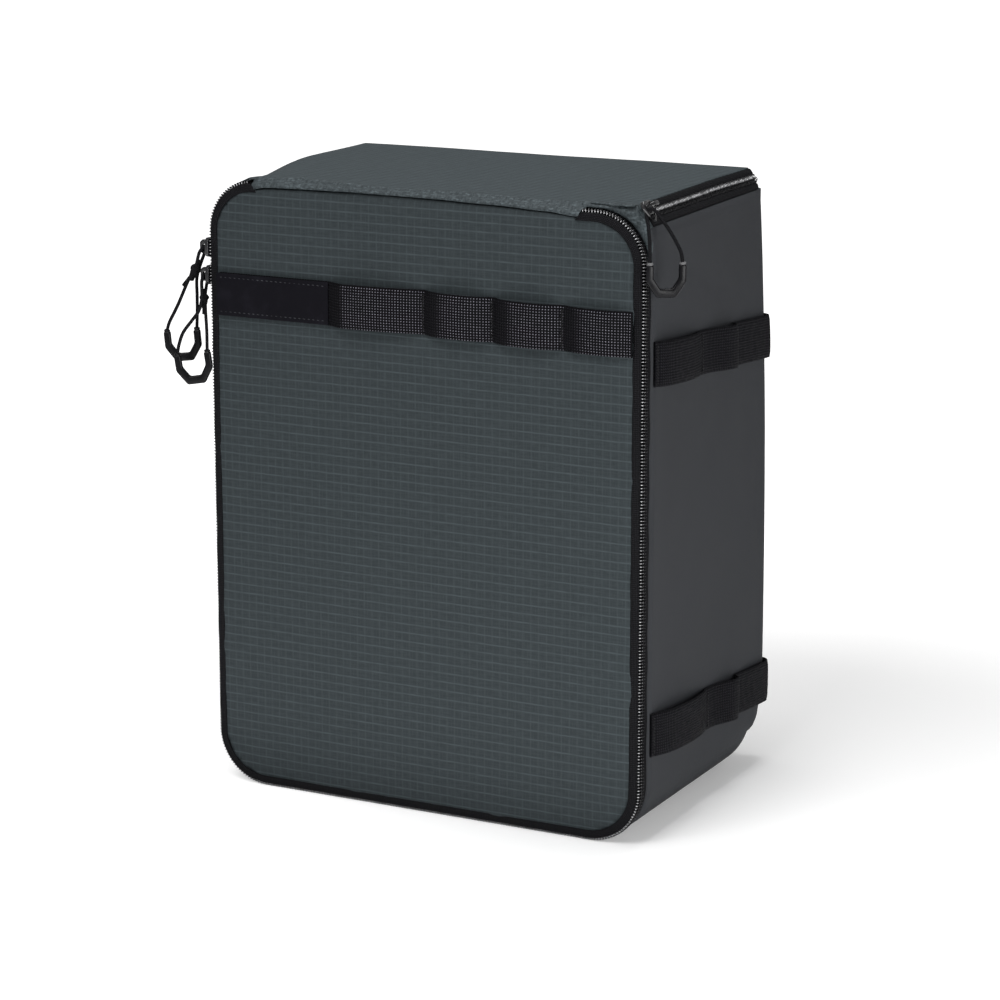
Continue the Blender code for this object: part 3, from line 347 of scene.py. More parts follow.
def brushed_lining_material(name, base):
    """Looped lining cloth, soft and matt, that hook tape grips."""
    material, tree, points = start_material(name, 0.95, 0.0004, specular=0.1, sheen=0.15)
    place = points.outputs["Object"]
    loops = mottle(tree, place, 900, 3)
    naps = mottle(tree, place, 60, 4)
    ground = blend_colours(tree, ramp(tree, loops, LOW_NOISE, HIGH_NOISE), rgba(base, 0.75), rgba(base, 1.2))
    colour = blend_colours(tree, ramp(tree, naps, LOW_NOISE, HIGH_NOISE, 0.0, 0.4), ground, rgba(base, 0.8))
    dress(tree, colour, calc(tree, "ADD", loops, calc(tree, "MULTIPLY", naps, 0.5)))
    return material


# %% Webbing, zip tape and other narrow goods
def strip_material(name, dark, light, along, across, height, roughness, specular=0.12, dots=1.0,
                   turned=False):
    """A woven strip that reads its UV map in metres, with painted highlights on its thread tops.

    With turned set, these painted highlights fade where the strip's normal points left: painted shade, as for
    light from the right.
    """
    material, tree, points = start_material(name, roughness, height, specular=specular)
    place = points.outputs["UV"]
    weave = use_group(tree, plain_weave, Vector=place, Along_Pitch=along, Across_Pitch=across)
    uneven = mottle(tree, stretch(tree, place, 300, 300, 1), 1.0, 2)
    tops = calc(tree, "MULTIPLY", weave.outputs["Dots"], ramp(tree, uneven, 0.3, 0.7, 0.55 * dots, dots))
    # Painted shade: the thread-top highlights dim where the normal points left.
    if turned:
        normal_x_for_shade = split(tree, points.outputs["Normal"])["X"]
        tops = calc(tree, "MULTIPLY", tops, ramp(tree, normal_x_for_shade, -0.22, 0.02, 0.06, 1.0))
    dress(tree, blend_colours(tree, tops, rgba(dark), rgba(light)), weave.outputs["Humps"],
          ramp(tree, uneven, 0.3, 0.7, roughness - 0.06, roughness + 0.06))
    return material


# %% Plastic, painted metal, patch and cord
def moulded_material(name, base, roughness, specular=0.5, coat=0.0, grain=900, depth=0.00002):
    """Moulded plastic or painted metal: even colour, a fine grain and rubbed patches."""
    material, tree, points = start_material(name, roughness, depth, specular=specular, coat=coat)
    place = points.outputs["Object"]
    fine = mottle(tree, place, grain, 2)
    rubbed = mottle(tree, place, 120, 3)
    colour = blend_colours(tree, ramp(tree, rubbed, 0.45, 0.75, 0.0, 0.5), rgba(base), rgba(base, 1.8))
    dress(tree, colour, fine, ramp(tree, rubbed, 0.35, 0.7, roughness - 0.05, roughness + 0.08))
    return material


def coil_material(name, dark, light):
    """Polished nylon with painted highlights: an attribute marks the side of each turn that faces a chosen way,
    and that side is painted light.
    """
    material, tree, points = start_material(name, 0.25, 0.00002, specular=0.25)
    highlight_side = tree.nodes.new("ShaderNodeAttribute")
    highlight_side.attribute_name = "highlight_side"
    scuffs = mottle(tree, points.outputs["Object"], 400, 2)
    painted_highlight_mask = calc(tree, "MULTIPLY", ramp(tree, highlight_side.outputs["Fac"], 0.70, 0.95),
                 ramp(tree, scuffs, 0.35, 0.6, 0.35, 1.0))
    dress(tree, blend_colours(tree, painted_highlight_mask, rgba(dark), rgba(light)), scuffs,
          ramp(tree, scuffs, 0.35, 0.7, 0.2, 0.35))
    return material


def braid_material(name, base):
    """Braided cord: two sets of strands that cross at a slant."""
    material, tree, points = start_material(name, 0.7, 0.0001, specular=0.05)
    parts = split(tree, points.outputs["Object"])
    strands = []
    for way in ("ADD", "SUBTRACT"):
        slant = calc(tree, way, parts["Z"], calc(tree, "MULTIPLY", parts["X"], 0.8))
        strands.append(calc(tree, "SINE", calc(tree, "MULTIPLY", slant, 5200.0)))
    humps = calc(tree, "MAXIMUM", *strands)
    dress(tree, blend_colours(tree, ramp(tree, humps, -0.2, 0.9), rgba(base, 0.5), rgba(base, 1.6)), humps)
    return material


RIPSTOP_TONE = (0.0318, 0.0388, 0.0420)
# The lid's ripstop is the front's cloth painted about a quarter lighter, with stronger lines: painted light for
# the brighter top. The folded band and the gussets share this tone.
TOP_TONE = (0.0405, 0.0492, 0.0532)
SIDE_TONE = (0.0362, 0.0380, 0.0418)
front_ripstop = ripstop_material("front ripstop", ("X", "Z"), RIPSTOP_TONE, 1.75, 0.00085)
top_ripstop_painted_lighter = ripstop_material("top ripstop", ("X", "Y"), TOP_TONE, 2.0, 0.0012)
folded_ripstop = folded_material("folded ripstop", TOP_TONE)
side_cloth = coated_cloth_material("coated side cloth", SIDE_TONE)
lining_cloth = brushed_lining_material("brushed lining", (0.085, 0.090, 0.095))
# The webbing's light colour is a painted highlight on its thread tops; turned adds painted shade on its
# left-facing slopes.
webbing_weave = strip_material("webbing weave", (0.0043, 0.0042, 0.0053), (0.225, 0.219, 0.255),
                               0.0017, 0.00156, 0.00035, 0.6, specular=0.05, turned=True)
strap_weave = strip_material("strap weave", (0.0055, 0.0054, 0.0068), (0.037, 0.036, 0.043),
                             0.0017, 0.00156, 0.00035, 0.6, specular=0.05)
tape_weave = strip_material("zip tape weave", (0.0048, 0.0048, 0.0057), (0.035, 0.035, 0.040),
                            0.0011, 0.0009, 0.00018, 0.75, specular=0.08, dots=0.8)
elastic_weave = strip_material("elastic binding", (0.008, 0.008, 0.009), (0.035, 0.035, 0.038),
                               0.0012, 0.0010, 0.00015, 0.75)
# The coil's near-white colour is a painted highlight on one side of each turn.
nylon_coil = coil_material("nylon coil", (0.005, 0.005, 0.006), (0.8, 0.8, 0.82))
painted_slider = moulded_material("painted slider", (0.006, 0.006, 0.007), 0.2, specular=0.5, coat=0.9)
grip_plastic = moulded_material("grip plastic", (0.0055, 0.0055, 0.0065), 0.25, specular=0.15, grain=2500,
                                depth=0.00001)
patch_leather = moulded_material("patch leather", (0.0062, 0.0059, 0.0082), 0.6, specular=0.04, grain=1800,
                                depth=0.00005)
thread_black = moulded_material("sewing thread", (0.006, 0.006, 0.007), 0.6, specular=0.2)
thread_grey = moulded_material("grey sewing thread", (0.035, 0.037, 0.042), 0.6, specular=0.2)
cord_braid = braid_material("cord braid", (0.007, 0.007, 0.008))
print("materials:", len(bpy.data.materials))

# %% [markdown]
# ## Sizes
#
# These are the case's own sizes in metres. They repeat the hard model's, so each sewn piece
# lies where its solid does.

# %% The case's sizes
HALF_WIDTH = 0.1375
FRONT_Y = -0.0925
BACK_Y = 0.0925
DEPTH = BACK_Y - FRONT_Y
CASE_TOP = 0.360
WALL_TOP = 0.3479
WALL_FRONT = -0.0807
LINING_INSET = 0.0118
LINING_FRONT = -0.0804
LINING_TOP = 0.3476
SIDE_RADIUS = 0.033
BACK_RADIUS = 0.030
UPRIGHT_RADIUS = 0.008
BACK_NARROWING = 0.006
ZIP_RADIUS = 0.032
ZIP_LOW = 0.0002
ZIP_LEFT_END = -0.1068
ZIP_RIGHT_END = 0.098
LID_HALF = 0.1285
LID_FRONT = -0.0843
LID_BACK = 0.0835
HAIR = 0.0003


# %% [markdown]
# ## Pull cords
#
# Each zip slider has a thin braided cord looped through it, and a plastic grip on the cord's
# two ends. A cord is a fixed length of something flexible, so it is a curve: out of one arm
# of the grip, up through the slider, and down into the other arm. The routes repeat the hard
# model's, since the cords' solids lie there.

# %% Cord routes
CORD_THICK = 0.002
UPPER_CORD = [(-0.1713, -0.0855, 0.2668), (-0.1695, -0.0856, 0.2720), (-0.1630, -0.0860, 0.2830),
              (-0.1560, -0.0865, 0.2965), (-0.1518, -0.0868, 0.3030), (-0.1490, -0.0875, 0.3075),
              (-0.1465, -0.0895, 0.3120), (-0.1442, -0.0912, 0.3158), (-0.1422, -0.0905, 0.3186),
              (-0.1417, -0.0883, 0.3192), (-0.1422, -0.0861, 0.3185), (-0.1442, -0.0851, 0.3153),
              (-0.1465, -0.0845, 0.3110), (-0.1492, -0.0840, 0.3050), (-0.1512, -0.0837, 0.2985),
              (-0.1520, -0.0825, 0.2880), (-0.1535, -0.0805, 0.2770), (-0.1546, -0.0795, 0.2684)]
LOWER_CORD = [(-0.1573, -0.0968, 0.2559), (-0.1560, -0.0966, 0.2620), (-0.1535, -0.0958, 0.2690),
              (-0.1485, -0.0942, 0.2760), (-0.1447, -0.0928, 0.2815), (-0.1428, -0.0921, 0.2880),
              (-0.1426, -0.0920, 0.2940), (-0.1428, -0.0916, 0.2990), (-0.1421, -0.0905, 0.3024),
              (-0.1417, -0.0883, 0.3031), (-0.1421, -0.0861, 0.3023), (-0.1430, -0.0854, 0.2985),
              (-0.1432, -0.0864, 0.2945), (-0.1428, -0.0884, 0.2895), (-0.1421, -0.0894, 0.2840),
              (-0.1415, -0.0900, 0.2780), (-0.1408, -0.0905, 0.2700), (-0.1407, -0.0907, 0.2583)]
TOP_CORD = [(0.1412, -0.0931, 0.3305), (0.1411, -0.0930, 0.3360), (0.1404, -0.0922, 0.3430),
            (0.1388, -0.0903, 0.3500), (0.1368, -0.0880, 0.3540), (0.1357, -0.0862, 0.3560),
            (0.1362, -0.0853, 0.3578), (0.1378, -0.0851, 0.3590), (0.1400, -0.0852, 0.3585),
            (0.1432, -0.0851, 0.3550), (0.1478, -0.0845, 0.3490), (0.1518, -0.0837, 0.3425),
            (0.1547, -0.0830, 0.3365), (0.1558, -0.0828, 0.3305)]


def smooth_route(points, spacing):
    """Evenly spaced points on a smooth curve through a route's own points."""
    knots = [Vector(point) for point in points]
    knots = [2 * knots[0] - knots[1]] + knots + [2 * knots[-1] - knots[-2]]
    fine = []
    for a, b, c, d in zip(knots[:-3], knots[1:-2], knots[2:-1], knots[3:]):
        for t in (i / 12 for i in range(12)):
            fine.append(((2 * b) + (c - a) * t + (2 * a - 5 * b + 4 * c - d) * t ** 2
                         + (3 * b - a - 3 * c + d) * t ** 3) / 2)
    fine.append(knots[-2])
    path = Route(fine, fine)
    count = max(2, round(path.length / spacing))
    return [path.at(path.length * i / count)[0] for i in range(count + 1)]


class Route:
    """Places along a seam with a direction at each, found again by distance."""

    def __init__(self, spots, outs):
        self.spots = [Vector(spot) for spot in spots]
        self.outs = [Vector(out) for out in outs]
        self.marks = [0.0]
        for a, b in zip(self.spots, self.spots[1:]):
            self.marks.append(self.marks[-1] + (b - a).length)
        self.length = self.marks[-1]

    def at(self, distance):
        k = min(max(bisect.bisect_right(self.marks, distance) - 1, 0), len(self.spots) - 2)
        share = (distance - self.marks[k]) / (self.marks[k + 1] - self.marks[k])
        spot = self.spots[k].lerp(self.spots[k + 1], share)
        out = self.outs[k].lerp(self.outs[k + 1], share).normalized()
        forward = (self.spots[k + 1] - self.spots[k]).normalized()
        return spot, out, forward


def make_cord(name, points, node, body):
    """A braided pull cord along its route."""
    route = smooth_route(points, 0.0011)
    curve = bpy.data.curves.new(name, "CURVE")
    curve.dimensions = "3D"
    curve.bevel_depth = CORD_THICK / 2
    curve.bevel_resolution = 3
    curve.use_fill_caps = True
    spline = curve.splines.new("POLY")
    spline.points.add(len(route) - 1)
    for point, spot in zip(spline.points, route):
        point.co = (*spot, 1)
    curve.materials.append(cord_braid)
    piece = bpy.data.objects.new(name, curve)
    bpy.context.collection.objects.link(piece)
    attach(piece, body)
    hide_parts(node)
    length = sum((b - a).length for a, b in zip(route, route[1:]))
    tuple(route[0])
    print(name, "is", round(length * 1000, 1), "mm long")
    return route


upper_route = make_cord("upper_pull_cord", UPPER_CORD, "front_pull_cord_upper", "front_pull_upper")
lower_route = make_cord("lower_pull_cord", LOWER_CORD, "front_pull_cord_lower", "front_pull_lower")
top_route = make_cord("top_grip_cord", TOP_CORD, "top_pull_cord", "top_pull")


# %% [markdown]
# ## The case settles
#
# Real foam and cloth don't stay square. This case draws in towards its back, its top leans
# to the left behind the panel, and its top left corner sinks where no zip slider props it
# up. Every sewn piece passes through the same function, so they all stay together.

# %% One function for the settled shape
def smooth_share(value, low, high):
    """Zero below low, one above high, smooth between."""
    share = min(1.0, max(0.0, (value - low) / (high - low)))
    return share * share * (3 - 2 * share)


def lean(x, y, z):
    """Sideways lean of the case towards its back and top."""
    back_share = (y - FRONT_Y) / DEPTH
    rise_share = max(0.0, (z - 0.1) / 0.26) ** 2.2
    right = smooth_share(x, 0.0, 0.13)
    full = 0.0022
    full += 0.0026 * smooth_share(z, 0.345, 0.356) * smooth_share(y, 0.02, 0.08)
    side = max(-1.0, min(1.0, x / 0.13))
    return back_share * (0.0026 - 0.0086 * rise_share * (1.25 - 0.3 * side) + full * right)


SINK_CENTRE = (0.1055, 0.3233)
SINK_RADII = (0.0325, 0.0370)


def sunk_share(x, z):
    """How far the round corner lies inside the square one, in the direction of a point."""
    across = (-x - SINK_CENTRE[0]) / SINK_RADII[0]
    up = (z - SINK_CENTRE[1]) / SINK_RADII[1]
    if across <= 0 or up <= 0:
        return 0.0
    span = math.hypot(across, up)
    a, b = across / span, up / span
    side, roof = 0.985, 0.997
    square = min(side / max(a, 0.01), roof / max(b, 0.01), 0.4913 / (0.332 * a + 0.247 * b))
    return max(0.0, 1 - 1 / square)


def settled(spot, sinks=True):
    """A point of the square case, where it lies on the settled one."""
    x, y, z = spot
    if sinks:
        share = sunk_share(x, z) * (1 - smooth_share(y, -0.0858, 0.012))
        if share > 0:
            x = -SINK_CENTRE[0] - (-x - SINK_CENTRE[0]) * (1 - share)
            z = SINK_CENTRE[1] + (z - SINK_CENTRE[1]) * (1 - share)
    narrow = x * (1 - BACK_NARROWING / HALF_WIDTH * (y - FRONT_Y) / DEPTH)
    return Vector((narrow + lean(x, y, z), y, z))


def settle_mesh(work, sinks=True):
    """Move every point of a bmesh to its settled place."""
    for vertex in work.verts:
        vertex.co = settled(vertex.co, sinks)


print("lid's back left corner settles at", [round(v, 4) for v in settled((-LID_HALF, LID_BACK, CASE_TOP))])


# %% [markdown]
# ## Helpers for pieces
#
# Each piece is finished the same way: its mesh goes into an object at the origin, gets a
# material, rides on a body and stands for the solids it hides.

# %% Finish a piece
def finish_piece(name, work, material, body, nodes=(), keep_normals=False):
    """Turn a bmesh into a piece that rides on a body and stands for solids."""
    if not keep_normals:
        bmesh.ops.recalc_face_normals(work, faces=work.faces)
    mesh = bpy.data.meshes.new(name)
    work.to_mesh(mesh)
    work.free()
    piece = bpy.data.objects.new(name, mesh)
    bpy.context.collection.objects.link(piece)
    mesh.shade_smooth()
    mesh.materials.append(material)
    if body:
        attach(piece, body)
    if nodes:
        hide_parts(*nodes)
    return piece


def cut_into_grid(work, axis, places):
    """Cut a mesh by planes across one axis."""
    normal = [0, 0, 0]
    normal[axis] = 1
    for place in places:
        spot = [0, 0, 0]
        spot[axis] = place
        everything = work.verts[:] + work.edges[:] + work.faces[:]
        bmesh.ops.bisect_plane(work, geom=everything, dist=0.00005, plane_co=spot, plane_no=normal)


def steps_between(low, high, step):
    """Evenly spaced places strictly between two values."""
    count = max(1, round((high - low) / step))
    return [low + (high - low) * i / count for i in range(1, count)]


def round_off(a, b):
    """Move a point of a square corner onto the round one, both measured from its centre."""
    if a <= 0 or b <= 0:
        return a, b
    share = max(a, b) / math.hypot(a, b)
    return a * share, b * share


def arc_points(centre, radius, start, stop, steps):
    """Points of an arc in a plane, with angles in degrees."""
    points = []
    for i in range(steps + 1):
        angle = math.radians(start + (stop - start) * i / steps)
        points.append((centre[0] + radius * math.cos(angle), centre[1] + radius * math.sin(angle)))
    return points


# %% [markdown]
# ## The padded walls
#
# The walls are foam boards in coated cloth: two sides, a base and a back with soft rounded
# edges. A cube is cut into a grid, its edges are rolled round, and the sheet is then given
# the wall's thickness. Rolling points round is gentler here than a bevel, because the
# three edges have different radii and meet in one corner.

# %% Wall builder
CORNER_RISE = 0.055


def roll_edges(spot, half, back, floor, radii):
    """Roll the upright back edges of a box and the base's edges round.

    The upright edges get rounder towards the base, so the lower corners are soft.
    """
    x, y, z = spot
    side_radius, back_radius, upright_radius = radii
    side = 1 if x >= 0 else -1
    upright_radius += (back_radius - upright_radius) * (1 - smooth_share(z, floor, floor + CORNER_RISE))
    a, b = round_off(abs(x) - (half - upright_radius), y - (back - upright_radius))
    x = side * (half - upright_radius + a)
    y = back - upright_radius + b
    a, b = round_off(abs(x) - (half - side_radius), floor + side_radius - z)
    x = side * (half - side_radius + a)
    z = floor + side_radius - b
    a, b = round_off(y - (back - back_radius), floor + back_radius - z)
    y = back - back_radius + a
    z = floor + back_radius - b
    return Vector((x, y, z))


def wall_sheet(inset, front, top):
    """The sides, base and back of the box as one open sheet, cut finely and rolled round."""
    half = HALF_WIDTH - inset
    back = BACK_Y - inset
    work = bmesh.new()
    bmesh.ops.create_cube(work, size=1)
    bmesh.ops.scale(work, verts=work.verts, vec=(2 * half, back - front, top - inset))
    bmesh.ops.translate(work, verts=work.verts, vec=(0, (back + front) / 2, (top + inset) / 2))
    open_faces = [face for face in work.faces if face.normal.y < -0.9 or face.normal.z > 0.9]
    bmesh.ops.delete(work, geom=open_faces, context="FACES_ONLY")
    radii = [max(radius - inset, 0.001) for radius in (SIDE_RADIUS, BACK_RADIUS, UPRIGHT_RADIUS)]
    low_steps = steps_between(inset, inset + radii[0] + 0.001, 0.003)
    cut_into_grid(work, 2, low_steps + steps_between(inset + radii[0] + 0.001, top, 0.0065))
    edge_steps = steps_between(half - radii[0] - 0.001, half, 0.003)
    cut_into_grid(work, 0, edge_steps + [-place for place in edge_steps])
    cut_into_grid(work, 0, steps_between(radii[0] + 0.001 - half, half - radii[0] - 0.001, 0.012))
    cut_into_grid(work, 1, steps_between(back - radii[1] - 0.001, back, 0.0025))
    cut_into_grid(work, 1, steps_between(front, back - radii[1] - 0.001, 0.0065))
    for vertex in work.verts:
        vertex.co = roll_edges(vertex.co, half, back, inset, radii)
    return work


def wrinkle(spot, size, scale, seed):
    """A soft random height at a point, always the same for the same seed."""
    return size * noise.noise(Vector(spot) * scale + Vector((seed, 0, 0)))


# %% Walls of coated cloth
CREASE_FROM = Vector((-0.062, 0.338))
CREASE_TO = Vector((0.030, 0.292))


def crease(y, z):
    """A faint slanting crease high on each side wall."""
    run = CREASE_TO - CREASE_FROM
    spot = Vector((y, z)) - CREASE_FROM
    share = max(0.0, min(1.0, spot.dot(run) / run.length_squared))
    off = (spot - run * share).length
    return -0.0015 * math.exp(-(off / 0.007) ** 2) * math.sin(math.pi * share)


walls = wall_sheet(0, WALL_FRONT, WALL_TOP)
walls.normal_update()
for vertex in walls.verts:
    x, y, z = vertex.co
    push = wrinkle(vertex.co, 0.0006, 14, 3.0) + wrinkle(vertex.co, 0.00025, 45, 9.0)
    edge_share = smooth_share(y, WALL_FRONT, WALL_FRONT + 0.02) * smooth_share(BACK_Y - y, 0.0, 0.02)
    if abs(x) > HALF_WIDTH - 0.002:
        push += crease(y, z)
        push -= 0.0009 * math.sin(math.pi * (z - 0.03) / 0.31) if z > 0.03 else 0
        push *= edge_share * smooth_share(WALL_TOP - z, 0.0, 0.02)
    else:
        push *= 0.5
    if z < 0.004:
        push = max(0.0, -push)
        vertex.co.z += push
    else:
        vertex.co += vertex.normal * push
for vertex in walls.verts:
    if vertex.co.y < WALL_FRONT + 0.004 and vertex.co.z > 0.3315:
        vertex.co.y -= 0.0033 * smooth_share(vertex.co.z, 0.3315, 0.3355)
WALL_THICK = 0.007
bmesh.ops.recalc_face_normals(walls, faces=walls.faces)
bmesh.ops.solidify(walls, geom=walls.faces[:], thickness=WALL_THICK)
settle_mesh(walls)
wall_piece = finish_piece("padded_walls", walls, side_cloth, "case",
                          ["outer_shell", "foam_base", "foam_left", "foam_right", "foam_back"])
print("walls:", len(wall_piece.data.polygons), "faces", [round(v, 4) for v in wall_piece.dimensions])

# %% [markdown]
# ## The lining
#
# Inside, the same box is lined with brushed cloth that hook tape can grip anywhere. It is
# made by the same builder, drawn in, and thickened outwards until it meets the wall.

# %% Brushed lining
lining = wall_sheet(LINING_INSET, LINING_FRONT, LINING_TOP)
bmesh.ops.recalc_face_normals(lining, faces=lining.faces)
bmesh.ops.solidify(lining, geom=lining.faces[:], thickness=-(LINING_INSET - WALL_THICK - HAIR))
settle_mesh(lining)
lining_piece = finish_piece("brushed_lining", lining, lining_cloth, "case", ["lining"])
print("lining:", len(lining_piece.data.polygons), "faces", [round(v, 4) for v in lining_piece.dimensions])

# %% [markdown]
# ## Woven strips and zip coils
#
# Zip tape and webbing are flat strips, so each is a grid that is given a thickness, keeps its
# flat places as a UV map in metres, and is then laid along its seam. A zip's teeth are one
# long nylon coil. Each turn shows as a small slanted loop, so one loop is spun once and
# copied along the seam, with few faces because there are hundreds.

# %% Strips and loops
def woven_strip(length, width, thick, step, rows=4, edge=0.55):
    """A flat strip along X, centred on Y and Z, with rounded edges and a UV map in metres."""
    work = bmesh.new()
    bmesh.ops.create_grid(work, x_segments=max(2, round(length / step)), y_segments=rows, size=0.5)
    bmesh.ops.scale(work, verts=work.verts, vec=(length, width, 1))
    bmesh.ops.translate(work, verts=work.verts, vec=(length / 2, 0, 0))
    bmesh.ops.solidify(work, geom=work.faces[:], thickness=thick)
    middle = sum(vertex.co.z for vertex in work.verts) / len(work.verts)
    layer = work.loops.layers.uv.new("flat")
    for vertex in work.verts:
        vertex.co.z -= middle
        if abs(abs(vertex.co.y) - width / 2) < 0.00001:
            vertex.co.z *= edge
    for face in work.faces:
        for loop in face.loops:
            loop[layer].uv = (loop.vert.co.x, loop.vert.co.y)
    return work


def lay_strip(work, place, sinks=True):
    """Send each point of a flat strip to its place on the case."""
    for vertex in work.verts:
        vertex.co = place(vertex.co.x, vertex.co.y, vertex.co.z)
    settle_mesh(work, sinks)
    return work


def coil_loop(across, thick, wire, highlight_way):
    """One turn of a coil: an oval ring whose axis is Z, with the side towards a given way marked for a painted
    highlight.
    """
    work = bmesh.new()
    bmesh.ops.create_circle(work, segments=4, radius=wire / 2)
    bmesh.ops.rotate(work, verts=work.verts, matrix=Matrix.Rotation(math.radians(90), 3, "X"))
    bmesh.ops.translate(work, verts=work.verts, vec=((across - wire) / 2, 0, 0))
    bmesh.ops.spin(work, geom=work.verts[:] + work.edges[:], cent=(0, 0, 0), axis=(0, 0, 1),
                   angle=math.tau, steps=9, use_merge=True)
    highlight_side = work.verts.layers.float.new("highlight_side")
    for vertex in work.verts:
        vertex[highlight_side] = max(0.0, (vertex.co.x * highlight_way[0] + vertex.co.y * highlight_way[1]) * 2 / across)
    bmesh.ops.scale(work, verts=work.verts, vec=(1, thick / across, 1))
    mesh = bpy.data.meshes.new("coil_loop")
    bmesh.ops.recalc_face_normals(work, faces=work.faces)
    work.to_mesh(mesh)
    work.free()
    return mesh


def string_loops(loop_mesh, start, stop, pitch, place, sinks=True):
    """Copies of a loop along a seam; place gives a matrix for each distance."""
    work = bmesh.new()
    count = int((stop - start) / pitch)
    for i in range(count):
        first = len(work.verts)
        work.from_mesh(loop_mesh)
        work.verts.ensure_lookup_table()
        bmesh.ops.transform(work, matrix=place(start + i * pitch), verts=work.verts[first:])
    settle_mesh(work, sinks)
    return work, count


# %% [markdown]
# ## The front zip
#
# The zip runs in a long U round the edge of the front panel, from one top corner down round
# the base and up to the other. One half of its coil is sewn to the panel with a tape that
# faces forwards, and the other half to the walls with a tape that faces sideways. Its left
# end climbs a little higher than its right one.

# %% Line of the front zip
COIL_PITCH = 0.00184
COIL_SLANT = 0.16
ZIP_BEND = 0.030
LEFT_TOP = 0.3592
RIGHT_TOP = 0.3570


def front_zip_line():
    """The outer line of the front zip, from its right end to its left end."""
    side = HALF_WIDTH - ZIP_BEND
    low = ZIP_LOW + ZIP_RADIUS
    low_side = HALF_WIDTH - ZIP_RADIUS
    corners = ((side, RIGHT_TOP - ZIP_BEND, ZIP_BEND, 90, 0), (low_side, low, ZIP_RADIUS, 0, -90),
               (-low_side, low, ZIP_RADIUS, -90, -180), (-side, LEFT_TOP - ZIP_BEND, ZIP_BEND, -180, -270))
    spots = [(ZIP_RIGHT_END, 0, RIGHT_TOP)]
    outs = [(0, 0, 1)]
    for x, z, radius, start, stop in corners:
        for a, b in arc_points((0, 0), 1, start, stop, 18):
            spots.append((x + radius * a, 0, z + radius * b))
            outs.append((a, 0, b))
    spots.append((ZIP_LEFT_END, 0, LEFT_TOP))
    outs.append((0, 0, 1))
    return Route(spots, outs)


front_line = front_zip_line()
PANEL_TAPE_MID = 0.0038
PANEL_TAPE_WIDTH = 0.0046
COIL_MID = 0.0009


def front_tape_place(s, w, h):
    """Panel tape: faces forwards, just inside the coil, with slanted ends."""
    end_slant = 0.004 * w / PANEL_TAPE_WIDTH
    near_end = 1 - smooth_share(min(s, front_line.length - s), 0.0, 0.02)
    shift = end_slant * near_end * (1 if s < front_line.length / 2 else -1)
    spot, out, forward = front_line.at(s + shift)
    ripple = 0.00025 * math.sin(s * 210) * math.sin(s * 57 + 1)
    y = FRONT_Y + 0.00055 - h + ripple + 0.0004 * (w / 0.0024)
    return spot - out * (PANEL_TAPE_MID - w) + Vector((0, y, 0))


tape = lay_strip(woven_strip(front_line.length, PANEL_TAPE_WIDTH, 0.0007, 0.0025), front_tape_place, False)
finish_piece("front_tape_on_panel", tape, tape_weave, "front_panel", ["front_zip_tape_panel"])


def wall_tape_place(s, w, h):
    """Wall tape: faces sideways, between the coil and the wall's front edge."""
    spot, out, forward = front_line.at(s)
    ripple = 0.0002 * math.sin(s * 190 + 2)
    return spot - out * (0.0012 - h + ripple) + Vector((0, -0.0832 + w, 0))


tape = lay_strip(woven_strip(front_line.length, 0.0052, 0.0011, 0.0025), wall_tape_place, False)
finish_piece("front_tape_on_wall", tape, tape_weave, "case", ["front_zip_tape_case"])
print("front zip:", round(front_line.length * 1000), "mm long")

# %% Coils of the front zip
front_loop = coil_loop(0.0027, 0.0044, 0.00082, (0.1736, -0.9848))


def front_loop_place(y, slant):
    """Where each loop of the front coil lies: its oval stands across the seam."""
    def place(s):
        spot, out, forward = front_line.at(s)
        middle = spot - out * COIL_MID + Vector((0, y, 0))
        depth = Vector((0, 1, 0))
        axis = (forward + depth * slant).normalized()
        turned = (depth - forward * slant).normalized()
        turn = Matrix((out, turned, axis)).transposed().to_4x4()
        return Matrix.Translation(middle) @ turn
    return place


for word, y, shift, body, node in (("panel", -0.0895, 0, "front_panel", "front_zip_coil_panel"),
                                   ("wall", -0.0871, COIL_PITCH / 2, "case", "front_zip_coil_case")):
    slant = COIL_SLANT if word == "panel" else -COIL_SLANT
    coil, count = string_loops(front_loop, 0.002 + shift, front_line.length - 0.002, COIL_PITCH,
                               front_loop_place(y, slant), False)
    finish_piece("front_coil_on_" + word, coil, nylon_coil, body, [node], keep_normals=True)
    print("front coil on the", word, "has", count, "loops")

# %% [markdown]
# ## The front panel
#
# The panel is foam in ripstop cloth, sewn down all round its edge, so it swells a little and
# puckers beside the seam. Blender's cloth does that: the back and the sewn edge are pinned,
# the cloth is slightly too large, and gentle pressure lifts it off the foam. The cap keeps
# it in the space that the hard panel holds.

# %% Swell cloth with a short simulation
SWELL_FRAMES = 20


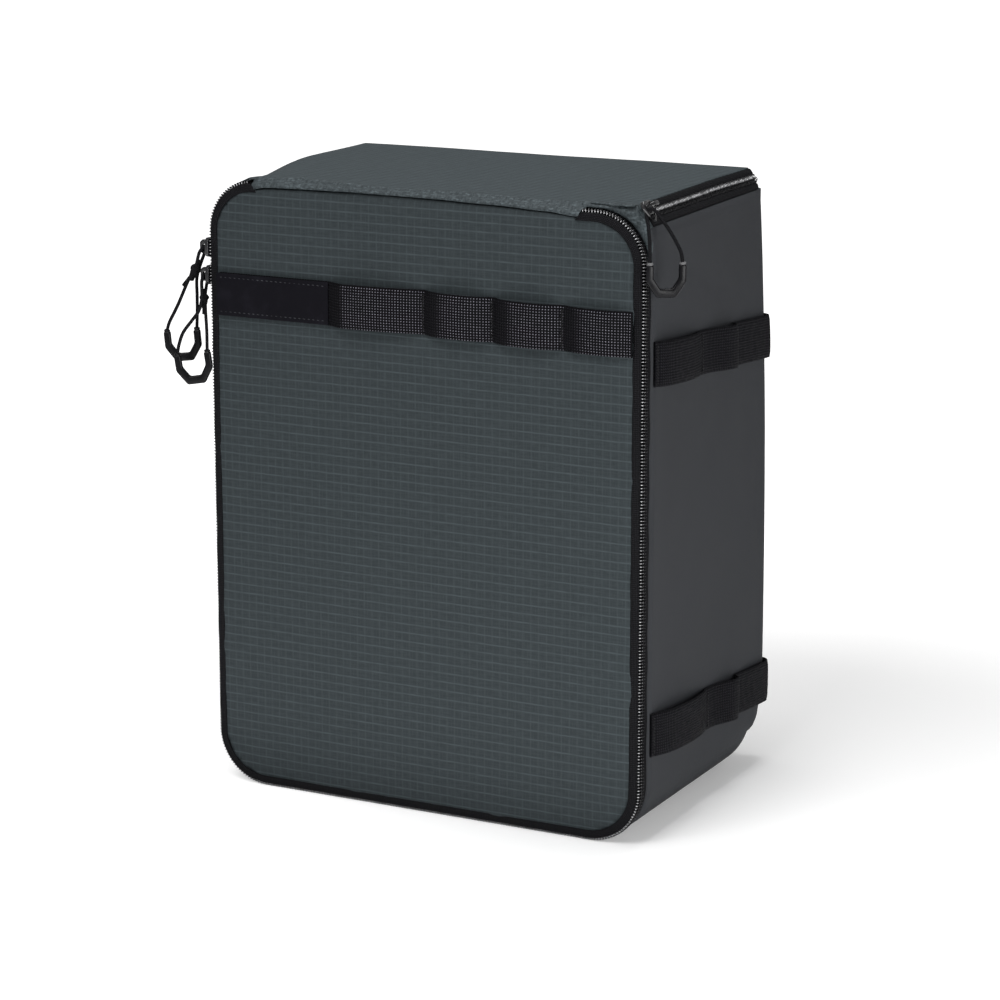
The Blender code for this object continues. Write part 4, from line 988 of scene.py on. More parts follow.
def swell(piece, pinned, pressure, spare, cap):
    """Let a piece's loose points swell under pressure, at most cap, and keep the result."""
    rest = [vertex.co.copy() for vertex in piece.data.vertices]
    group = piece.vertex_groups.new(name="sewn")
    group.add(pinned, 1.0, "REPLACE")
    cloth = piece.modifiers.new("cloth", "CLOTH")
    settings = cloth.settings
    settings.quality = 5
    settings.mass = 0.25
    settings.bending_stiffness = 0.35
    settings.tension_stiffness = 25
    settings.compression_stiffness = 25
    settings.vertex_group_mass = "sewn"
    settings.use_pressure = True
    settings.uniform_pressure_force = pressure
    settings.shrink_min = -spare
    settings.effector_weights.gravity = 0
    cloth.collision_settings.use_collision = False
    for step in range(1, SWELL_FRAMES + 1):
        bpy.context.scene.frame_set(step)
    graph = bpy.context.evaluated_depsgraph_get()
    swollen = piece.evaluated_get(graph).to_mesh()
    places = [vertex.co.copy() for vertex in swollen.vertices]
    piece.evaluated_get(graph).to_mesh_clear()
    piece.modifiers.remove(cloth)
    piece.vertex_groups.remove(group)
    bpy.context.scene.frame_set(1)
    furthest = 0.0
    for vertex, before, after in zip(piece.data.vertices, rest, places):
        step = after - before
        furthest = max(furthest, step.length)
        if step.length > 0:
            step *= cap * math.tanh(step.length / cap) / step.length
        vertex.co = before + step
    return furthest


# %% Cloth of the front panel
PANEL_RIM = 0.0043
SEAM_HEIGHTS = [(-0.1094, 0.3538), (-0.0987, 0.3558), (-0.0756, 0.3563), (-0.0432, 0.3568),
                (0.0, 0.3566), (0.045, 0.3556), (0.078, 0.3543), (0.0985, 0.3524)]


def seam_height(x):
    """Height of the seam along the panel's top edge."""
    for (a, low), (b, high) in zip(SEAM_HEIGHTS, SEAM_HEIGHTS[1:]):
        if x <= b:
            return low + (high - low) * smooth_share(x, a, b)
    return SEAM_HEIGHTS[-1][1]


def panel_face(inset, top_seam):
    """Outline of the panel as one face, drawn in from the zip's line."""
    work = bmesh.new()
    points = []
    count = 190
    for i in range(count + 1):
        spot, out, forward = front_line.at(front_line.length * i / count)
        points.append(spot - out * inset)
    if top_seam:
        places = (-0.106, -0.1, -0.09, -0.075, -0.06, -0.043, -0.02, 0.0, 0.02, 0.045, 0.06, 0.078, 0.09)
        points += [Vector((x, 0, seam_height(x))) for x in places]
    work.faces.new([work.verts.new(point) for point in points])
    return work


def panel_cloth():
    """The panel's cloth: a fine grid in front of a flat back, closed round the rim."""
    work = panel_face(PANEL_RIM, True)
    cut_into_grid(work, 0, [-0.132 + 0.0055 * i for i in range(49)])
    cut_into_grid(work, 2, [0.0055 + 0.0055 * i for i in range(65)])
    rim = {vertex for edge in work.edges if edge.is_boundary for vertex in edge.verts}
    for vertex in work.verts:
        vertex.co.y = -0.0922 if vertex in rim else -0.0916
    kept = bmesh.ops.extrude_face_region(work, geom=work.faces[:], use_keep_orig=True)["geom"]
    for item in kept:
        if isinstance(item, bmesh.types.BMVert):
            item.co.y = -0.0822
    return work


panel = panel_cloth()
panel_piece = finish_piece("panel_cloth", panel, front_ripstop, "front_panel",
                           ["front_panel_cover", "front_panel_foam"])
sewn = [vertex.index for vertex in panel_piece.data.vertices if vertex.co.y > -0.09 or vertex.co.y < -0.0920]
reach = swell(panel_piece, sewn, 4.0, 0.006, 0.0012)
for vertex in panel_piece.data.vertices:
    x, y, z = vertex.co
    if y < -0.0900:
        near_seam = math.exp(-((seam_height(x) - z) / 0.012) ** 2)
        vertex.co.y += wrinkle((x * 3.5, 0, z * 0.4), 0.0010, 24, 4.0) * near_seam
        vertex.co.y += wrinkle((x, 0, z), 0.0005, 16, 7.0)
    vertex.co = settled(vertex.co, False)
divide = panel_piece.modifiers.new("smooth", "SUBSURF")
divide.levels = divide.render_levels = 1
print("panel cloth swelled", round(reach * 1000, 2), "mm before the cap")

# %% Lining and mesh pocket behind the panel
board = panel_face(0.0034, False)
cut_into_grid(board, 0, steps_between(-0.134, 0.134, 0.012))
cut_into_grid(board, 2, steps_between(0.004, 0.352, 0.012))
for vertex in board.verts:
    vertex.co.y = -0.0817
bmesh.ops.extrude_face_region(board, geom=board.faces[:], use_keep_orig=True)
half_count = len(board.verts) // 2
board.verts.ensure_lookup_table()
for vertex in board.verts[half_count:]:
    vertex.co.y = -0.0808
settle_mesh(board, False)
lining_board = finish_piece("panel_lining", board, lining_cloth, "front_panel", ["front_panel_lining"])
print("panel lining:", len(lining_board.data.polygons), "faces")

# %% [markdown]
# ## Mesh pocket
#
# Inside the panel is a flat pocket of mesh. The mesh is one thin sheet whose holes are cut by
# the material, which keeps it light, and an elastic strip runs along its open top.

# %% Mesh pocket
POCKET_HALF = 0.110
POCKET_LOW = 0.040
POCKET_TOP = 0.190
POCKET_CORNER = 0.012
POCKET_Y = -0.0802


def mesh_material():
    """Black mesh: round holes in rows, cut by the alpha."""
    material, tree, points = start_material("pocket mesh", 0.7, 0.0002, specular=0.2)
    parts = split(tree, points.outputs["Object"])
    waves = [calc(tree, "SINE", calc(tree, "MULTIPLY", parts[axis], math.tau / 0.003)) for axis in "XZ"]
    web = ramp(tree, calc(tree, "ABSOLUTE", calc(tree, "MULTIPLY", *waves)), 0.45, 0.25)
    colour = blend_colours(tree, mottle(tree, points.outputs["Object"], 700), rgba((0.010, 0.010, 0.011)),
                           rgba((0.030, 0.030, 0.032)))
    dress(tree, colour, web, alpha=web)
    return material


pocket = bmesh.new()
bmesh.ops.create_grid(pocket, x_segments=44, y_segments=30, size=0.5)
bmesh.ops.scale(pocket, verts=pocket.verts, vec=(2 * POCKET_HALF, POCKET_TOP - POCKET_LOW, 1))
bmesh.ops.rotate(pocket, verts=pocket.verts, matrix=Matrix.Rotation(math.radians(90), 3, "X"))
bmesh.ops.translate(pocket, verts=pocket.verts, vec=(0, POCKET_Y, (POCKET_TOP + POCKET_LOW) / 2))
for vertex in pocket.verts:
    x, y, z = vertex.co
    side = 1 if x > 0 else -1
    a, b = round_off(abs(x) - POCKET_HALF + POCKET_CORNER, POCKET_LOW + POCKET_CORNER - z)
    ripple = 0.0004 * math.sin(x * 90) * math.sin(z * 70)
    vertex.co = Vector((side * (POCKET_HALF - POCKET_CORNER + a), y + ripple, POCKET_LOW + POCKET_CORNER - b))
bmesh.ops.recalc_face_normals(pocket, faces=pocket.faces)
bmesh.ops.solidify(pocket, geom=pocket.faces[:], thickness=0.0004)
pocket_piece = finish_piece("mesh_pocket_net", pocket, mesh_material(), "front_panel", ["mesh_pocket"])

hem = woven_strip(2 * POCKET_HALF, 0.010, 0.0008, 0.004)
for vertex in hem.verts:
    x, y, z = vertex.co
    vertex.co = Vector((x - POCKET_HALF, POCKET_Y + z * 0.9, POCKET_TOP - 0.004 + y))
finish_piece("mesh_pocket_hem", hem, elastic_weave, "front_panel")
print("mesh pocket:", len(pocket_piece.data.polygons), "faces")

# %% [markdown]
# ## The lid and the band in front of it
#
# One piece of ripstop runs from the panel's top seam over the front edge and back across the
# lid. The lid turns up about the seam behind that edge. The cloth is one sheet that rides on no
# body, so it stays where it is when the lid turns.

# %% Shape of the top cloth
BAND_LEFT = -0.1087
BAND_RIGHT = 0.0977
RIDGE_Y = -0.0858
BAND_FRONT = -0.0923
BAND_SLANT = 0.7


def ridge_height(x):
    """Height of the front edge's ridge, a little higher where the padding is full."""
    return 0.3604 + 0.0012 * math.exp(-((x + 0.08) / 0.05) ** 2) + 0.0004 * math.sin(x * 60)


def top_height(x, y):
    """Height of the top cloth: up the band, over the ridge and back across the lid."""
    low = seam_height(x) + 0.0006
    ridge = ridge_height(x)
    if y < RIDGE_Y:
        share = max(0.0, (y - BAND_FRONT) / (RIDGE_Y - BAND_FRONT))
        roll = 0.0007 * math.sin(math.pi * min(1.0, share / 0.55))
        roll -= 0.0004 * math.exp(-((share - 0.62) / 0.12) ** 2)
        return low + (ridge - low) * share ** 0.85 + roll
    fall = smooth_share(y, RIDGE_Y, RIDGE_Y + 0.014)
    crown = 0.0011 * math.sin(math.pi * smooth_share(x, -0.14, 0.14))
    crown *= math.sin(math.pi * (y + 0.09) / 0.18)
    return ridge + (CASE_TOP - ridge) * fall + max(0.0, crown) * fall


top = bmesh.new()
bmesh.ops.create_grid(top, x_segments=1, y_segments=1, size=0.5)
bmesh.ops.scale(top, verts=top.verts, vec=(2 * LID_HALF, LID_BACK - BAND_FRONT, 1))
bmesh.ops.translate(top, verts=top.verts, vec=(0, (LID_BACK + BAND_FRONT) / 2, 0))
cut_into_grid(top, 0, [BAND_LEFT, BAND_RIGHT] + [-0.1265 + 0.0033 * i for i in range(77)])
near_ridge_cuts = [-0.0915, -0.0907, -0.0899, -0.0890, -0.0881, -0.0872, -0.0863, RIDGE_Y, -0.0851,
                   LID_FRONT, -0.0834, -0.0826, -0.081, -0.079, -0.0765]
cut_into_grid(top, 1, near_ridge_cuts + [-0.073 + 0.0045 * i for i in range(35)])
bmesh.ops.bisect_plane(top, geom=top.verts[:] + top.edges[:] + top.faces[:], dist=0.00002,
                       plane_co=(BAND_RIGHT, BAND_FRONT, 0), plane_no=(1, -BAND_SLANT, 0))
notches = []
for face in top.faces:
    spot = face.calc_center_median()
    if spot.y < RIDGE_Y and not BAND_LEFT < spot.x < BAND_RIGHT + BAND_SLANT * (spot.y - BAND_FRONT):
        notches.append(face)
bmesh.ops.delete(top, geom=notches, context="FACES")
for vertex in top.verts:
    x, y, z = vertex.co
    near_ridge = math.exp(-((y - RIDGE_Y) / 0.005) ** 2)
    crumple = 0.0006 * noise.noise(Vector((x * 280, y * 120, 3))) * near_ridge
    folds = 0.00025 * noise.noise(Vector((x * 60, y * 200, 8))) * (0.3 + near_ridge)
    sag = 0.0005 * noise.noise(Vector((x * 14, y * 18, 1))) * smooth_share(y, RIDGE_Y, -0.06)
    corner = math.exp(-((x - 0.122) / 0.012) ** 2 - ((y + 0.076) / 0.014) ** 2)
    vertex.co.z = top_height(x, y) + crumple + folds + sag - 0.0010 * corner
    vertex.co.y += crumple * 1.5
bmesh.ops.recalc_face_normals(top, faces=top.faces)
if sum(face.normal.z for face in top.faces) < 0:
    bmesh.ops.reverse_faces(top, faces=top.faces)
bmesh.ops.solidify(top, geom=top.faces[:], thickness=0.0009)
for face in top.faces:
    face.material_index = 1 if face.calc_center_median().y < RIDGE_Y + 0.0012 else 0
settle_mesh(top)
top_piece = finish_piece("top_cloth", top, top_ripstop_painted_lighter, None, ["hinge_band", "lid_cover"])
top_piece.data.materials.append(folded_ripstop)
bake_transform(top_piece)
print("top cloth:", len(top_piece.data.polygons), "faces")

# %% Pad and lining of the lid
def padded_board(low, high, cell, edge, crown=(0, 0, 0)):
    """A soft board: a box cut into a grid, with rolled edges and slightly crowned faces."""
    work = bmesh.new()
    bmesh.ops.create_cube(work, size=1)
    size = [b - a for a, b in zip(low, high)]
    bmesh.ops.scale(work, verts=work.verts, vec=size)
    bmesh.ops.translate(work, verts=work.verts, vec=[(a + b) / 2 for a, b in zip(low, high)])
    for axis in range(3):
        inner = [low[axis] + edge * 0.35, low[axis] + edge, high[axis] - edge, high[axis] - edge * 0.35]
        count_low, count_high = low[axis] + edge, high[axis] - edge
        if count_high - count_low > cell:
            inner += steps_between(count_low, count_high, cell)
        cut_into_grid(work, axis, sorted(inner))
    middle = Vector([(a + b) / 2 for a, b in zip(low, high)])
    half = Vector([value / 2 for value in size])
    for vertex in work.verts:
        offset = vertex.co - middle
        over = Vector([max(0.0, abs(offset[i]) - (half[i] - edge)) for i in range(3)])
        reach = over.length
        if reach > edge:
            for i in range(3):
                sign = 1 if offset[i] > 0 else -1
                if over[i] > 0:
                    offset[i] = sign * (half[i] - edge + over[i] * edge / reach)
        for i in range(3):
            if crown[i] and abs(offset[i]) > half[i] - 0.0001 - edge:
                others = [j for j in range(3) if j != i]
                share = math.prod(max(0.0, 1 - (abs(offset[j]) / half[j]) ** 4) for j in others)
                offset[i] += (1 if offset[i] > 0 else -1) * crown[i] * (share - 1)
        vertex.co = middle + offset
    return work


PAD_HALF, PAD_FRONT, PAD_BACK = 0.1283, -0.0797, 0.0832
pad = padded_board((-PAD_HALF, PAD_FRONT, 0.3497), (PAD_HALF, PAD_BACK, 0.3588), 0.012, 0.0016)
settle_mesh(pad)
lid_pad = finish_piece("lid_pad", pad, side_cloth, "top_lid", ["lid_foam"])
pad = padded_board((-PAD_HALF, PAD_FRONT, 0.3482), (PAD_HALF, PAD_BACK, 0.3495), 0.012, 0.0005)
settle_mesh(pad)
lid_lining = finish_piece("lid_lining_cloth", pad, lining_cloth, "top_lid", ["lid_lining"])
print("lid pad:", [round(v, 4) for v in lid_pad.dimensions])

# %% [markdown]
# ## The top zip
#
# The lid's zip lies on a slope round three sides of the lid. From the lid outwards there are
# a tape, the two halves of the coil, and a slightly wider tape sewn to the walls.

# %% Line of the top zip
SLOPE_RUN = 0.008
SLOPE_RISE = CASE_TOP - WALL_TOP
SLOPE_LENGTH = math.hypot(SLOPE_RUN, SLOPE_RISE)
LID_EDGE = HALF_WIDTH - SLOPE_RUN
LID_EDGE_BACK = BACK_Y - SLOPE_RUN
WALL_HALF_START = -0.0798
LID_HALF_START = -0.0690


def top_zip_line(right_start, left_start):
    """The lid's edge line from the right front round the back to the left front."""
    corner = 0.0015
    spots = [(LID_EDGE, right_start, 0)]
    outs = [(1, 0, 0)]
    for side, start, stop in ((1, 0, 90), (-1, 90, 180)):
        for a, b in arc_points((0, 0), 1, start, stop, 10):
            spots.append((side * (LID_EDGE - corner) + corner * a, LID_EDGE_BACK - corner + corner * b, 0))
            outs.append((a, b, 0))
    spots.append((-LID_EDGE, left_start, 0))
    outs.append((-1, 0, 0))
    return Route(spots, outs)


def on_slope(line, s, along, above):
    """A point of the sloping edge, along it from the lid and above it."""
    spot, out, forward = line.at(s)
    run = SLOPE_RUN / SLOPE_LENGTH
    rise = SLOPE_RISE / SLOPE_LENGTH
    step = along * run + above * rise
    return spot + out * step + Vector((0, 0, CASE_TOP - along * rise + above * run))


lid_line = top_zip_line(LID_HALF_START, WALL_HALF_START)
wall_line = top_zip_line(WALL_HALF_START, WALL_HALF_START)
for name, line, middle, width, body, node in (
        ("lid_zip_tape", lid_line, 0.0020, 0.0037, "top_lid", "top_zip_tape_lid"),
        ("wall_zip_tape", wall_line, 0.01165, 0.0042, "case", "top_zip_tape_case")):
    bulge = 0.0006 if body == "case" else 0.0002
    strip = woven_strip(line.length, width, 0.0009, 0.0025, rows=6)
    lay_strip(strip, lambda s, w, h: on_slope(line, s, middle + w,
                                              h - 0.0005 + bulge * math.cos(math.pi * w / width)))
    finish_piece(name, strip, tape_weave, body, [node])


def top_loop_place(line, along, slant):
    """Where each loop of the top coil lies: its oval lies across the slope."""
    def place(s):
        spot, out, forward = line.at(s)
        middle = on_slope(line, s, along, -0.0003)
        down = (on_slope(line, s, along + 0.001, 0) - on_slope(line, s, along, 0)).normalized()
        axis = (forward + down * slant).normalized()
        up = axis.cross(down).normalized()
        across = up.cross(axis).normalized()
        return Matrix.Translation(middle) @ Matrix((across, up, axis)).transposed().to_4x4()
    return place


top_loops = {"lid": coil_loop(0.0040, 0.0024, 0.00080, (0.1736, -0.9848)),
             "wall": coil_loop(0.0040, 0.0024, 0.00080, (-0.9397, 0.3420))}
for word, line, along, begin, slant, body, node in (
        ("lid", lid_line, 0.0055, 0.001, COIL_SLANT, "top_lid", "top_zip_coil_lid"),
        ("wall", wall_line, 0.0078, 0.001 + COIL_PITCH / 2, -COIL_SLANT, "case", "top_zip_coil_case")):
    coil, count = string_loops(top_loops[word], begin, line.length - 0.001, COIL_PITCH,
                               top_loop_place(line, along, slant))
    finish_piece("top_coil_on_" + word, coil, nylon_coil, body, [node], keep_normals=True)
    print("top coil on the", word, "has", count, "loops")

# %% [markdown]
# ## Corner gussets
#
# In front, between the zip's round corner and the lid's square one, a folded patch of cloth
# closes the gap. It is a grid stretched between the two, with small folds.

# %% Folded gussets
def copy_node(node):
    """A merged copy of a hard solid with its flat faces joined."""
    work = bmesh.new()
    work.from_mesh(frame["nodes"][node].data)
    bmesh.ops.remove_doubles(work, verts=work.verts, dist=0.000002)
    bmesh.ops.dissolve_limit(work, angle_limit=math.radians(1.5), verts=work.verts, edges=work.edges)
    return work


def gusset(side, word):
    """Cloth between the zip's round corner in front and the case's own corner behind it."""
    reach = 0.0600
    edge = BAND_RIGHT if side > 0 else -BAND_LEFT
    profile = [(edge, 0.3602), (LID_EDGE - 0.001, 0.3602), (LID_EDGE + 0.0005, 0.3596),
               (HALF_WIDTH, WALL_TOP + 0.0004), (HALF_WIDTH, 0.3330)]
    behind = Route([(side * x, 0, z) for x, z in profile], [(0, 0, 1)] * len(profile))
    work = bmesh.new()
    bmesh.ops.create_grid(work, x_segments=44, y_segments=9, size=0.5)
    for vertex in work.verts:
        share = vertex.co.x + 0.5
        back = vertex.co.y + 0.5
        s = reach * share if side > 0 else front_line.length - reach * share
        arc_spot, out, forward = front_line.at(s)
        near_band = 1 - smooth_share(share, 0.12, 0.32)
        arc_spot = arc_spot + out * (0.0002 + 0.0006 * near_band)
        box_spot = behind.at(behind.length * share)[0]
        rise = math.sin(back * math.pi / 2) ** (0.45 + 0.5 * smooth_share(share, 0.15, 0.6))
        spot = arc_spot.lerp(box_spot, rise)
        y = -0.0852 - 0.0022 * near_band * (1 - back) + 0.0054 * (1 - math.cos(back * math.pi / 2))
        fold = 0.0007 * math.sin(share * 26 + back * 3) * math.sin(back * math.pi)
        fold += 0.0009 * noise.noise(Vector((share * 9, back * 3, 5 * side))) * math.sin(back * math.pi)
        vertex.co = spot + out * fold + Vector((0, y, 0))
    bmesh.ops.recalc_face_normals(work, faces=work.faces)
    if sum(face.normal.z * face.calc_area() for face in work.faces) < 0:
        bmesh.ops.reverse_faces(work, faces=work.faces)
    bmesh.ops.solidify(work, geom=work.faces[:], thickness=0.0008)
    settle_mesh(work)
    finish_piece("folded_gusset_" + word, work, folded_ripstop, "case", ["corner_gusset_" + word])


gusset(-1, "left")
gusset(1, "right")
print("gussets folded")

# %% [markdown]
# ## Webbing
#
# The webbing is sewn down at tacks, and stands off between them in loops that other gear
# hooks into. Each loop is fuller on one side, as webbing pushed along before sewing is.

# %% Path of a looped webbing
def loop_lift(share, peak):
    """Height of a loop along its length, with its top at peak."""
    warped = share ** (math.log(0.5) / math.log(peak))
    return max(0.0, 1 - abs(2 * warped - 1) ** 2.6)


TACK_MARGIN = 0.0016
LOOP_STEP = 0.0015


def looped_path(tacks, peaks, gaps):
    """Distances along a wall and off it, for webbing tacked at the given places."""
    points = []
    for start, stop, peak, gap in zip(tacks, tacks[1:], peaks, gaps):
        first = start + TACK_MARGIN
        last = stop - TACK_MARGIN
        points.append((start, 0.0))
        count = max(6, round((last - first) / LOOP_STEP))
        for i in range(count + 1):
            points.append((first + (last - first) * i / count, gap * loop_lift(i / count, peak)))
    points.append((tacks[-1], 0.0))
    return points


def plan_route(points):
    """A route on plan points, with outward directions square to it."""
    spots = [Vector((x, y, 0)) for x, y in points]
    outs = []
    for i, spot in enumerate(spots):
        run = (spots[min(i + 1, len(spots) - 1)] - spots[max(i - 1, 0)]).normalized()
        outs.append(Vector((run.y, -run.x, 0)))
    return Route(spots, outs)


def webbing_piece(name, route, middle, body, node, material=webbing_weave):
    """Webbing on edge along a plan route, at the heights that middle gives."""
    strip = woven_strip(route.length, 0.025, 0.0015, 0.0013, rows=8)

    def place(s, w, h):
        spot, out, forward = route.at(s)
        bow = 0.0003 * (1 - (w / 0.0125) ** 2)
        return spot + out * (h + bow) + Vector((0, 0, middle(spot.x, spot.y) + w))

    lay_strip(strip, place)
    return finish_piece(name, strip, material, body, [node])


TACK_HEIGHT = 0.021
TACK_TURNS = 22


def zigzag_stitches(name, route, places, middle, body):
    """Bar tacks: dense zigzags of thread across the webbing at each place."""
    work = bmesh.new()
    for place_s in places:
        for i in range(TACK_TURNS):
            low = -TACK_HEIGHT / 2 + TACK_HEIGHT * i / TACK_TURNS
            spot, out, forward = route.at(place_s)
            lean_way = 1 if i % 2 else -1
            first = len(work.verts)
            bmesh.ops.create_cube(work, size=1)
            work.verts.ensure_lookup_table()
            fresh = work.verts[first:]
            bmesh.ops.scale(work, verts=fresh, vec=(0.0022, 0.0005, 0.0005))
            bmesh.ops.rotate(work, verts=fresh, matrix=Matrix.Rotation(lean_way * 0.45, 3, "Y"))
            angle = math.atan2(forward.y, forward.x)
            bmesh.ops.rotate(work, verts=fresh, matrix=Matrix.Rotation(angle, 3, "Z"))
            height_here = middle(spot.x, spot.y) + low + TACK_HEIGHT / (2 * TACK_TURNS)
            bmesh.ops.translate(work, verts=fresh, vec=spot + out * 0.00095 + Vector((0, 0, height_here)))
    bmesh.ops.bevel(work, geom=work.edges[:], offset=0.00012, segments=1, profile=0.5, affect="EDGES",
                    material=-1, clamp_overlap=True)
    settle_mesh(work)
    return finish_piece(name, work, thread_black, body)


# %% Front webbing, its stitches and the patch
WEBBING_REST = 0.0011
FRONT_TACKS = (-0.0600, 0.0037, 0.0468, 0.0895, 0.1295)


def front_webbing_height(x, y):
    """The front webbing hangs a little lower to the right."""
    return 0.2934 - 0.0022 * smooth_share(x, -0.02, 0.14)


# The first loop rises slowly from under the patch, so its left slope is wide.
FIRST_GAP = 0.0052
points = looped_path(FRONT_TACKS, (0.306, 0.45, 0.45, 0.5), (FIRST_GAP, 0.0048, 0.0050, 0.0030))
points = [(x, min(off, FIRST_GAP * smooth_share(x, -0.0590, -0.0450))) for x, off in points]
path = [(-0.129, FRONT_Y - WEBBING_REST)] + [(x, FRONT_Y - WEBBING_REST - off) for x, off in points]
path.append((0.1315, FRONT_Y - WEBBING_REST))
front_route = plan_route(path)
webbing_piece("front_webbing_chain", front_route, front_webbing_height, "front_panel", "front_webbing")


def distance_at(route, x, axis=0):
    """Distance along a route at which it reaches a place on one axis."""
    best = min(range(len(route.spots)), key=lambda i: abs(route.spots[i][axis] - x))
    return route.marks[best]


zigzag_stitches("front_bar_tacks", front_route, [distance_at(front_route, x) for x in FRONT_TACKS[1:4]],
                front_webbing_height, "front_panel")

PATCH_LEFT = -0.1305
PATCH_RIGHT = -0.0565
PATCH_LOW = 0.2812
PATCH_HIGH = 0.3058
PATCH_FACE = -0.0950
patch = padded_board((PATCH_LEFT, -0.0960, PATCH_LOW), (PATCH_RIGHT, -0.0947, PATCH_HIGH), 0.006, 0.0006)
for vertex in patch.verts:
    x, y, z = vertex.co
    edge_gap = min(z - PATCH_LOW, PATCH_HIGH - z)
    groove = math.exp(-((edge_gap - 0.0024) / 0.0009) ** 2)
    if y < PATCH_FACE:
        vertex.co.y += 0.0003 * groove
        vertex.co.y += wrinkle((x, 0, z), 0.0004, 60, 5.0)
settle_mesh(patch)
finish_piece("name_patch_leather", patch, patch_leather, "front_panel", ["name_patch"])

stitches = bmesh.new()
for z in (0.2836, 0.3034):
    for i in range(23):
        x = PATCH_LEFT + 0.0035 + i * 0.00305
        first = len(stitches.verts)
        bmesh.ops.create_icosphere(stitches, subdivisions=1, radius=0.5)
        stitches.verts.ensure_lookup_table()
        fresh = stitches.verts[first:]
        bmesh.ops.scale(stitches, verts=fresh, vec=(0.0019, 0.0005, 0.0005))
        bmesh.ops.rotate(stitches, verts=fresh, matrix=Matrix.Rotation(0.12, 3, "Y"))
        bmesh.ops.translate(stitches, verts=fresh, vec=(x, -0.09595, z))
settle_mesh(stitches)
finish_piece("patch_stitches", stitches, thread_grey, "front_panel")
print("front webbing:", round(front_route.length * 1000), "mm of webbing")


# %% Side straps
def side_strap(name, side, tacks, peaks, gaps, mid_height):
    """A side strap: two loops on the wall, one round the back edge, and its end on the back."""
    rest = WEBBING_REST
    lift = 0.0016
    start = FRONT_Y + 0.0135
    points = [(HALF_WIDTH + rest, start)]
    points += [(HALF_WIDTH + rest + off, y) for y, off in looped_path(tacks, peaks, gaps)]
    turn_y = BACK_Y - UPRIGHT_RADIUS
    turn_x = HALF_WIDTH - UPRIGHT_RADIUS
    last = tacks[-1] + TACK_MARGIN
    for i in range(1, 15):
        share = i / 14
        rise = lift * math.sin(share * math.pi / 2) ** 0.7
        points.append((HALF_WIDTH + rest + rise, last + (turn_y - last) * share))
    points += arc_points((turn_x, turn_y), UPRIGHT_RADIUS + rest + lift, 8, 90, 9)
    for i in range(1, 7):
        share = i / 7
        points.append((turn_x - 0.006 * share, BACK_Y + rest + lift * math.cos(share * math.pi / 2) ** 0.8))
    points += [(HALF_WIDTH - 0.0141, BACK_Y + rest), (HALF_WIDTH - 0.032, BACK_Y + rest)]
    if side < 0:
        points = [(-x, y) for x, y in reversed(points)]
    route = plan_route(points)

    def middle(x, y):
        return mid_height - 0.013 * (y - FRONT_Y) / DEPTH

    webbing_piece(name + "_webbing", route, middle, "case", name, strap_weave)
    spots = [distance_at(route, y, 1) for y in tacks]
    if side < 0:
        half = [i for i, spot in enumerate(route.spots) if spot.x < -HALF_WIDTH + 0.001]
        spots = [route.marks[min(half, key=lambda i: abs(route.spots[i].y - y))] for y in tacks]
    zigzag_stitches(name + "_tacks", route, spots, middle, "case")
    return route


for side, word in ((-1, "left"), (1, "right")):
    route = side_strap("upper_strap_" + word, side, (-0.077, -0.013, 0.037), (0.42, 0.78), (0.0040, 0.0050),
                       0.274)
    side_strap("lower_strap_" + word, side, (-0.077, -0.001, 0.042), (0.45, 0.78), (0.0045, 0.0050), 0.0635)
print("side straps:", round(route.length * 1000), "mm each")

# %% [markdown]
# ## Shelves and dividers
#
# Inside, padded boards hold on to the brushed lining. Two shelves run right across, and an
# upright divider slides in each bay.

# %% Padded boards inside
LOW_CORNER_Y, LOW_CORNER_Z = 0.0615, 0.0310      # centre of the lower divider's round corner
for name, node, low, high, body in (
        ("shelf_pad_lower", "shelf_lower", (-0.1250, -0.0789, 0.1151), (0.1250, 0.0802, 0.1249), "case"),
        ("shelf_pad_upper", "shelf_upper", (-0.1250, -0.0789, 0.2251), (0.1250, 0.0802, 0.2349), "case")):
    work = padded_board(low, high, 0.010, 0.0028, crown=(0, 0, 0.0006))
    settle_mesh(work)
    piece = finish_piece(name, work, lining_cloth, body, [node])
for name, node, x, floor, roof, body in (
        ("divider_pad_lower", "divider_lower", 0.0, 0.0124, 0.1145, "divider_lower"),
        ("divider_pad_middle", "divider_middle", -0.0200, 0.1255, 0.2245, "divider_middle"),
        ("divider_pad_upper", "divider_upper", 0.0300, 0.2355, 0.3469, "divider_upper")):
    work = padded_board((x - 0.0039, -0.0789, floor), (x + 0.0039, 0.0800, roof), 0.010, 0.0026,
                        crown=(0.0006, 0, 0))
    if node == "divider_lower":
        for vertex in work.verts:
            a, b = round_off(vertex.co.y - LOW_CORNER_Y, LOW_CORNER_Z - vertex.co.z)
            vertex.co.y = LOW_CORNER_Y + a
            vertex.co.z = LOW_CORNER_Z - b
    piece = finish_piece(name, work, lining_cloth, body, [node])
print("padded boards: 5")

# %% [markdown]
# ## Sliders, bail and grips
#
# The sliders are cast metal with a glossy black paint. Their hard solids already have the
# right form, so each gets a softened copy whose edges catch the light.

# %% Softened copies of the small hard parts
def soften(name, node, radius, segments, material, body, sharp=25):
    """A copy of a hard solid with rounded edges."""
    work = copy_node(node)
    edges = [edge for edge in work.edges if edge.calc_face_angle(0) > math.radians(sharp)]
    bmesh.ops.bevel(work, geom=edges, offset=radius, segments=segments, profile=0.5, affect="EDGES",
                    material=-1, clamp_overlap=True)
    piece = finish_piece(name, work, material, body, [node])
    piece.data.set_sharp_from_angle(angle=math.radians(50))
    return piece


